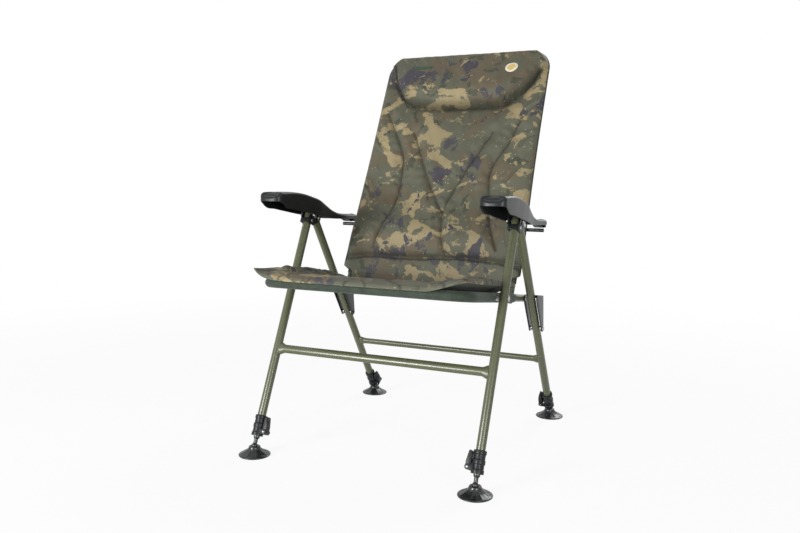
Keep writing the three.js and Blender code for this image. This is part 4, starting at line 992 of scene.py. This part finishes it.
def fasteners():
    """Bolts, rivets and pins: shank radius, its two faces, collars, which ends have heads, and their places."""
    gap = LEG_X - LEG_RADIUS - SEAT_RAIL_X - RAIL_RADIUS
    shift = SEAT_RAIL_X - BACK_RAIL_X
    rivet_z = LEG_LENGTH["front"] - 16.0
    rivet = (-FOOT_REACH - rivet_z * math.sin(LEAN["front"]), ANKLE + rivet_z * math.cos(LEAN["front"]))
    both, outer, inner = (True, True), (False, True), (True, False)
    kinds = [
        ("arm_pivot_bolt", 4, -19.2, 20.4, [], both, LEG_X, ARM_PIVOT),
        ("rear_pivot_bolt", 4, -14.1, 14.1, [], both, LEG_X, REAR_PIVOT),
        ("bracket_rivet", 4, -14.1, 14.1, [], both, LEG_X, rivet),
        ("seat_pivot_bolt", 4, -39.3, 11.3, [(-11 - gap + 0.3, -11.3)], both, LEG_X, SEAT_PIVOT),
        ("link_lower_pin", 4, -18.3, 18.6, [(-15.5, -11.3), (11.3, 15.5)], outer, LEG_X, LINK_FOOT),
        ("link_upper_pin", 4, -18.7, -15.5, [], outer, LEG_X, LINK_HEAD),
        ("back_hinge_bolt", 4, -shift - 10.3, 9.7, [(-shift + 10.3, -10.3)], inner, SEAT_RAIL_X, BACK_HINGE),
        ("recline_pin", 5, 232.7, 308, [(253.3, 256.3)], inner, 0.0, RECLINE_PIN),
    ]
    for kind, radius, low, high, collars, heads, x, point in kinds:
        head, thick = (5, 2.2) if kind == "bracket_rivet" else (7, 3)
        profile = bolt_profile(radius, head, thick, low, high, collars, heads)
        for word, side in SIDES:
            node = f"{kind}_{word}"
            make(f"{node}_turned", [turned(profile, 28)], DARK_ZINC if kind == "recline_pin" else ZINC,
                 body_of_node(node), node, lambda p: along_x(p, side) + (side * x, *point))
    ring = [(4.3, 14.1), (9.6, 14.1), (10.0, 14.5), (10.0, 14.9), (9.6, 15.3), (6.9, 15.3), (6.9, 18.9), (4.3, 18.9)]
    ring.append(ring[0])
    for word, side in SIDES:
        make(f"arm_bush_{word}_turned", [turned(ring, 28)], ZINC, f"arm_bush_{word}", f"arm_bush_{word}",
             lambda p: along_x(p, side) + (side * LEG_X, *ARM_PIVOT))


# Feet and locks
def foot_ends():
    """Rod, plug, ball and mud foot of each leg's extension, and its lock."""
    ball = [(8.0 * math.cos(a), 8.0 * math.sin(a)) for a in np.linspace(-math.pi / 2, math.pi / 2, 15)]
    plug = softened([(0, 6.0), (5.0, 6.0), (5.0, 17.5), (7.6, 19.5), (7.6, 22.4), (0, 22.4)], 0.8)
    rod = rod_profile(ROD_RADIUS, 22.0, 230.0, 0.8)
    for end, word, side in LEGS:
        def on_this_leg(points):
            return on_leg(points, end, side)

        name, start = f"{end}_{word}", (side * LEG_X, FOOT_Y[end], 0.0)
        body = f"leg_extension_{name}"
        make(f"extension_rod_{name}", [turned(rod)], OLIVE, body, f"extension_leg_{name}", on_this_leg)
        make(f"extension_plug_{name}", [turned(plug)], GLOSS_BLACK, body, None, on_this_leg)
        make(f"swivel_ball_{name}", [turned(ball, 30)], GLOSS_BLACK, f"ball_{name}", f"foot_ball_{name}",
             lambda p: p + start + np.array((0, 0, ANKLE)))
        make(f"mud_foot_shell_{name}", [mud_foot()], GLOSS_BLACK, f"foot_{name}", f"mud_foot_{name}",
             lambda p: p + start)
        lock(name, end, side)


def mud_foot():
    """Turned disc with a beaded rim and a hollow cone up to the hub's socket; eight soft ribs raise the cone."""
    arcs = np.linspace(0, np.pi / 2, 8)
    socket = np.stack([8.6 * np.cos(arcs), ANKLE - 8.6 * np.sin(arcs)], axis=-1)
    outside = softened([
        (0, 0), (38.6, 0), (40.0, 1.4), (40.0, 3.4), (37.6, 4.9), (33, 6), (24, 10.5), (17.5, 15.5), (15, 20),
        (14.2, 23), (12.8, 24.3), (8.6, 24.3),
    ], 1.2)
    profile = np.concatenate([outside, socket])
    profile[-1, 0] = 0
    points, faces = turned(profile, 96)
    turn = np.arctan2(points[..., 1], points[..., 0])
    reach = np.hypot(points[..., 0], points[..., 1])
    rib = bell(((turn + math.pi / 8) % (math.pi / 4)) - math.pi / 8, 0.09)
    rib = rib * step_up(reach, 15.0, 20.0) * step_up(37.0 - reach, 0.0, 5.0)
    raised = points.copy()
    raised[..., 2] += 1.5 * rib * (points[..., 2] > 5.0)
    return raised, faces


def lock(name, end, side):
    """Sleeve with three bands and two ears, and a lever with grip ridges on its outer face, hung on a cross pin."""
    def place(points):
        turned_in = points * ((-1, -1, 1) if side > 0 else (1, 1, 1))
        return on_leg(turned_in + (0, 0, SLEEVE_RISE[end]), end, side)

    ring = softened([
        (8.1, 0), (14.9, 0), (14.9, 8.5), (13.5, 9.8), (13.5, 20.4), (14.9, 21.7), (14.9, 30.3), (13.5, 31.6),
        (13.5, 42.2), (14.9, 43.5), (14.9, 52.0), (11.1, 52.0), (11.1, 12.0), (8.1, 12.0),
    ], 0.7, True)
    ring = np.concatenate([ring, ring[:1]])
    ear = np.concatenate([[(8.0, 5.5), (22.0, 5.5)], arc((22.0, 12.0), 6.5, -math.pi / 2, math.pi / 2), [(8.0, 18.5)]])
    ears = [moved(plate, upright) for plate in cheeks(ear, 9.4, 12.4, 0.6)]
    z = np.linspace(20.0, 47.0, 80)
    ridges = 0.75 * np.sin(z * 2 * np.pi / 3.6) * bell(z - 37.0, 8.0)
    face = np.interp(z, (20.0, 25.0, 47.0), (28.0, 28.0, 23.9)) + ridges
    tip = softened([(23.9, 47.0), (23.0, 49.8), (19.4, 50.0), (15.5, 46.5), (15.5, 40.0)], 1.6)
    lever = np.concatenate([
        [(15.5, 14.0)], arc((22.0, 12.0), 6.1, math.pi, 2 * math.pi), np.stack([face, z], axis=-1), tip,
    ])
    pin = turned(rod_profile(2.0, -12.9, 12.9, 0.7), 20)
    pin = moved(pin, lambda p: np.stack([p[..., 0] + 22.0, p[..., 2], 12.0 - p[..., 1]], axis=-1))
    body = f"{end}_frame"
    make(f"lock_sleeve_body_{name}", [turned(ring, 44)] + ears, SATIN_BLACK, body, f"lock_sleeve_{name}", place)
    grip = moved(slab(lever, -9.1, 9.1, 1.2), upright)
    make(f"lock_lever_grip_{name}", [grip], SATIN_BLACK, f"lever_{name}", f"lock_lever_{name}", place)
    make(f"lever_pin_{name}_turned", [pin], ZINC, body, f"lever_pin_{name}", place)


# Armrests: shares along from the pivot, and at each of them half width, top and depth
ARM_ALONG = np.array([-1, -0.96, -0.82, -0.61, -0.37, -0.1, 0.07, 0.23, 0.385, 0.545, 0.7, 0.885, 0.975, 1])
ARM_HALF = np.array([0.93, 0.955, 0.985, 1, 0.98, 0.93, 0.85, 0.69, 0.57, 0.52, 0.49, 0.46, 0.45, 0.44])
ARM_TOP = np.array([0.83, 0.94, 0.99, 1, 0.95, 0.81, 0.69, 0.46, 0.22, 0.05, -0.02, -0.05, -0.07, -0.13])
ARM_DEPTH = np.array([0.25, 0.41, 0.79, 0.92, 1, 0.98, 0.93, 0.75, 0.53, 0.35, 0.29, 0.28, 0.24, 0.12])
ARM_RISE, ARM_DROP, ARM_WIDTH = 62.5, 48.5, 32.5
NOTCH_RADIUS, NOTCH_PITCH, NOTCH_DEPTH = 5.6, 12.0, 7.0
ARM_NOSE, ARM_TAIL = 195.5, RECLINE_PIN[0] - ARM_PIVOT[0] + 38.0
ARM_Y = ARM_PIVOT[0] + ARM_ALONG * np.where(ARM_ALONG < 0, ARM_NOSE, ARM_TAIL)


def smooth_through(y, heights):
    """Smooth curve through the section values: a cubic between neighbours whose slopes are their weighted means."""
    step = np.diff(ARM_Y)
    slope = np.diff(heights) / step
    inner = (slope[:-1] * step[1:] + slope[1:] * step[:-1]) / (step[:-1] + step[1:])
    inner = np.where(slope[:-1] * slope[1:] > 0, inner, 0.0)
    knot = np.concatenate([slope[:1], inner, slope[-1:]])
    y = np.clip(y, ARM_Y[0], ARM_Y[-1])
    at = np.clip(np.searchsorted(ARM_Y, y) - 1, 0, len(step) - 1)
    s = (y - ARM_Y[at]) / step[at]
    return (
        heights[at] * (1 - s) ** 2 * (1 + 2 * s) + heights[at + 1] * s ** 2 * (3 - 2 * s)
        + step[at] * (knot[at] * s * (1 - s) ** 2 - knot[at + 1] * s ** 2 * (1 - s))
    )


def arm_top(y):
    return smooth_through(y, ARM_PIVOT[1] + ARM_RISE * ARM_TOP)


def arm_half(y):
    """Half width in plan, closed at the nose and the tail by a rounded square corner."""
    def closed(gap, reach):
        share = 1 - np.clip(gap / reach, 0, 1)
        return np.clip(1 - share ** 2.6, 0, 1) ** (1 / 2.6)

    return smooth_through(y, ARM_WIDTH * ARM_HALF) * closed(y - ARM_Y[0], 17.0) * closed(ARM_Y[-1] - y, 10.0)


def armrest_shell():
    """Rings round the plan outline: up the skirt from the under edge, over a rounded shoulder, then in to the crown."""
    lean_in = 0.5 - 0.5 * np.cos(np.linspace(0, np.pi, 150))
    y = ARM_Y[0] + (ARM_Y[-1] - ARM_Y[0]) * lean_in
    right = np.stack([arm_half(y), y], axis=-1)
    loop = np.concatenate([right, (right * (-1, 1))[::-1][1:-1]])
    ahead = np.roll(loop, -1, axis=0) - np.roll(loop, 1, axis=0)
    out = unit(np.stack([ahead[:, 1], -ahead[:, 0]], axis=-1))
    top = arm_top(loop[:, 1])
    under = smooth_through(loop[:, 1], ARM_PIVOT[1] + ARM_RISE * ARM_TOP - ARM_DROP * ARM_DEPTH)
    shoulder = np.minimum(7.5, 0.75 * (top - under))
    rows = []
    for share in (0.0, 0.02, 0.05, 0.2, 0.4, 0.6, 0.8, 1.0):
        inset = 0.7 * (1 - min(share / 0.05, 1.0)) ** 2
        rows.append((loop - out * inset, under + (top - shoulder - under) * share))
    for turn in np.linspace(0, np.pi / 2, 8)[1:]:
        rows.append((loop - out * (shoulder * (1 - np.cos(turn)))[:, None], top - shoulder * (1 - np.sin(turn))))
    edge = rows[-1][0]
    spine = np.stack([np.zeros(len(loop)), np.clip(edge[:, 1], ARM_Y[0] + 28.0, ARM_Y[-1] - 9.0)], axis=-1)
    for share in np.linspace(0, 1, 12)[1:]:
        inner = edge + (spine - edge) * share
        crown = arm_top(inner[:, 1]) + 1.4 * share * (2 - share)
        rows.append((inner, crown + (top - arm_top(edge[:, 1])) * (1 - share)))
    points = np.stack([np.concatenate([plan, height[:, None]], axis=-1) for plan, height in rows])
    return points, grid_faces(*points.shape[:2], True)


def armrest_inside():
    """Lugs on both sides of the pivot, the comb with five round notches, and a rib along the middle of the hollow."""
    y, z = ARM_PIVOT
    lug = np.concatenate([
        [(y - 7.0, arm_top(np.array(y - 7.0)) - 1.3), (y - 10.0, z)], arc((y, z), 10.0, math.pi, 2 * math.pi, 20)[1:],
        [(y + 7.0, arm_top(np.array(y + 7.0)) - 1.3)],
    ])
    sweep = PIN_RISE + 5.0 + 1.1

    def tip(at):
        """Height of the comb's lower edge: an arc about the back's hinge, just over the pin's sweep."""
        return BACK_HINGE[1] + math.sqrt(sweep ** 2 - (min(at, RECLINE_PIN[0]) - BACK_HINGE[0]) ** 2)

    front, rear = RECLINE_PIN[0] - 31.1, RECLINE_PIN[0] + 31.1
    crown = ARM_PIVOT[1] - ARM_RISE * 0.07 - 1.3
    comb = [[(rear, crown), (front, crown), (front, tip(front))]]
    for notch in range(-2, 3):
        middle = RECLINE_PIN[0] + NOTCH_PITCH * notch
        near, far = middle - NOTCH_RADIUS, middle + NOTCH_RADIUS
        root = tip(middle) + NOTCH_DEPTH - NOTCH_RADIUS
        comb += [[(near, tip(near))], arc((middle, root), NOTCH_RADIUS, math.pi, 0, 12), [(far, tip(far))]]
    comb = np.concatenate(comb + [[(rear, tip(rear))]])
    along = np.linspace(y + 16.0, front + 2.0, 40)
    above, below = arm_top(along) - 1.2, np.maximum(arm_top(along) - 6.0, REAR_PIVOT[1] + 16.0)
    below = np.minimum(below, above - 2.0)
    rib = np.concatenate([np.stack([along, above], axis=-1), np.stack([along, below], axis=-1)[::-1]])
    return cheeks(lug, 15.6, 18.6, 0.5) + [slab(comb, -12.35, 12.35, 0.6), slab(rib, -1.2, 1.2, 0.4)]


def armrests():
    for word, side in SIDES:
        def place(points):
            return points + (side * LEG_X, 0.0, 0.0)

        body = f"armrest_{word}"
        thickened(make(f"armrest_shell_{word}", [armrest_shell()], SATIN_BLACK, body, body, place), 2.6, -1.0)
        make(f"armrest_comb_{word}", armrest_inside(), SATIN_BLACK, body, None, place)


leg_tubes()
crossbars()
hoops()
top_brackets()
rear_links()
fasteners()
foot_ends()
armrests()
seat_sling()
rear_panel()
back_binding()
round_badge()
woven_label()
back_cover, seat_cover = back_cushion(), seat_cushion()
for cover, normal, anchor in (
    (back_cover, on_back(0, -1, 0) - on_back(0, 0, 0), on_back(0, BACK_FACE, 300.0)),
    (seat_cover, on_seat(0, 0, 1) - on_seat(0, 0, 0), on_seat(0, 0, 12.0)),
):
    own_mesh(cover)


# Studio: a white floor and surround, and soft lamps
def seen_share(owner):
    """Emptied node tree of a material or world, and 1 for its rays from the camera, a mirror or glass, else 0."""
    owner.use_nodes = True
    tree = owner.node_tree
    tree.nodes.clear()
    path = tree.nodes.new("ShaderNodeLightPath")
    rays = [Value(tree, path.outputs[f"Is {kind} Ray"]) for kind in ("Camera", "Glossy", "Transmission")]
    return tree, rays[0].larger(rays[1]).larger(rays[2])


def shown(tree, output, kinds, share):
    """Two plain shaders, each a node kind with its socket values, mixed by a share at the tree's output."""
    mix = tree.nodes.new("ShaderNodeMixShader")
    tree.links.new(share.socket, mix.inputs[0])
    for number, (kind, values) in enumerate(kinds, 1):
        shader = share.node(kind, {}, values)
        tree.links.new(shader.socket, mix.inputs[number])
    tree.links.new(mix.outputs[0], tree.nodes.new(output).inputs[0])


def studio():
    """Surround that lights softly and looks white, a floor that turns white away from the chair, and three lamps."""
    scene = bpy.context.scene
    scene.world = bpy.data.worlds.new("studio")
    tree, seen = seen_share(scene.world)
    shown(tree, "ShaderNodeOutputWorld", (
        ("ShaderNodeBackground", {"Color": (0.97, 0.98, 1.0, 1.0), "Strength": 0.24}),
        ("ShaderNodeBackground", {"Color": (1.0, 1.0, 1.0, 1.0)}),
    ), seen)

    reach = 14.0
    mesh = bpy.data.meshes.new("floor")
    corners = [(-reach, -reach, 0), (reach, -reach, 0), (reach, reach, 0), (-reach, reach, 0)]
    mesh.from_pydata(corners, [], [(0, 1, 2, 3)])
    floor = bpy.data.objects.new("floor", mesh)
    scene.collection.objects.link(floor)
    paper = bpy.data.materials.new("white_paper")
    tree, seen = seen_share(paper)
    place = Value(tree, tree.nodes.new("ShaderNodeTexCoord").outputs["Object"])
    away = place.node("ShaderNodeVectorMath", {"operation": "LENGTH"}, {0: place}, "Value").between(0.9, 3.2)
    shown(tree, "ShaderNodeOutputMaterial", (
        ("ShaderNodeBsdfDiffuse", {"Color": (0.92, 0.92, 0.92, 1.0)}), ("ShaderNodeEmission", {}),
    ), seen * (away * 0.1 + 0.9))
    mesh.materials.append(paper)

    for name, place, size, power in (
        ("key_lamp", (-1.4, -3.3, 0.95), 1.1, 128.0),
        ("fill_lamp", (2.6, -2.6, 0.8), 1.3, 58.0),
        ("rim_lamp", (0.8, 2.8, 2.6), 1.6, 50.0),
    ):
        lamp = bpy.data.lights.new(name, "AREA")
        lamp.shape, lamp.size, lamp.energy = "DISK", size, power
        holder = bpy.data.objects.new(name, lamp)
        holder.location = place
        holder.rotation_mode = "QUATERNION"
        holder.rotation_quaternion = (Vector((0, 0, 0.5)) - Vector(place)).to_track_quat("-Z", "Y")
        scene.collection.objects.link(holder)
    scene.view_settings.view_transform = "Standard"


def photograph_camera():
    """Camera where the photograph was taken: azimuth, downward pitch and a slight roll."""
    azimuth, pitch, roll = math.radians(24.579), math.radians(5.728), math.radians(0.793)
    back = Vector((math.sin(azimuth) * math.cos(pitch), -math.cos(azimuth) * math.cos(pitch), math.sin(pitch)))
    right = Vector((math.cos(azimuth), math.sin(azimuth), 0.0))
    up = back.cross(right)
    rolled_right = right * math.cos(roll) + up * math.sin(roll)
    rolled_up = up * math.cos(roll) - right * math.sin(roll)
    camera = bpy.data.cameras.new("photograph_camera")
    camera.sensor_width, camera.lens = 36.0, 34.716
    camera.clip_start, camera.clip_end = 0.05, 60.0
    holder = bpy.data.objects.new("photograph_camera", camera)
    turn = Matrix((rolled_right, rolled_up, back)).transposed()
    holder.matrix_world = Matrix.Translation((0.823362, -1.913908, 0.674682)) @ turn.to_4x4()
    bpy.context.scene.collection.objects.link(holder)
    bpy.context.scene.camera = holder


studio()
photograph_camera()
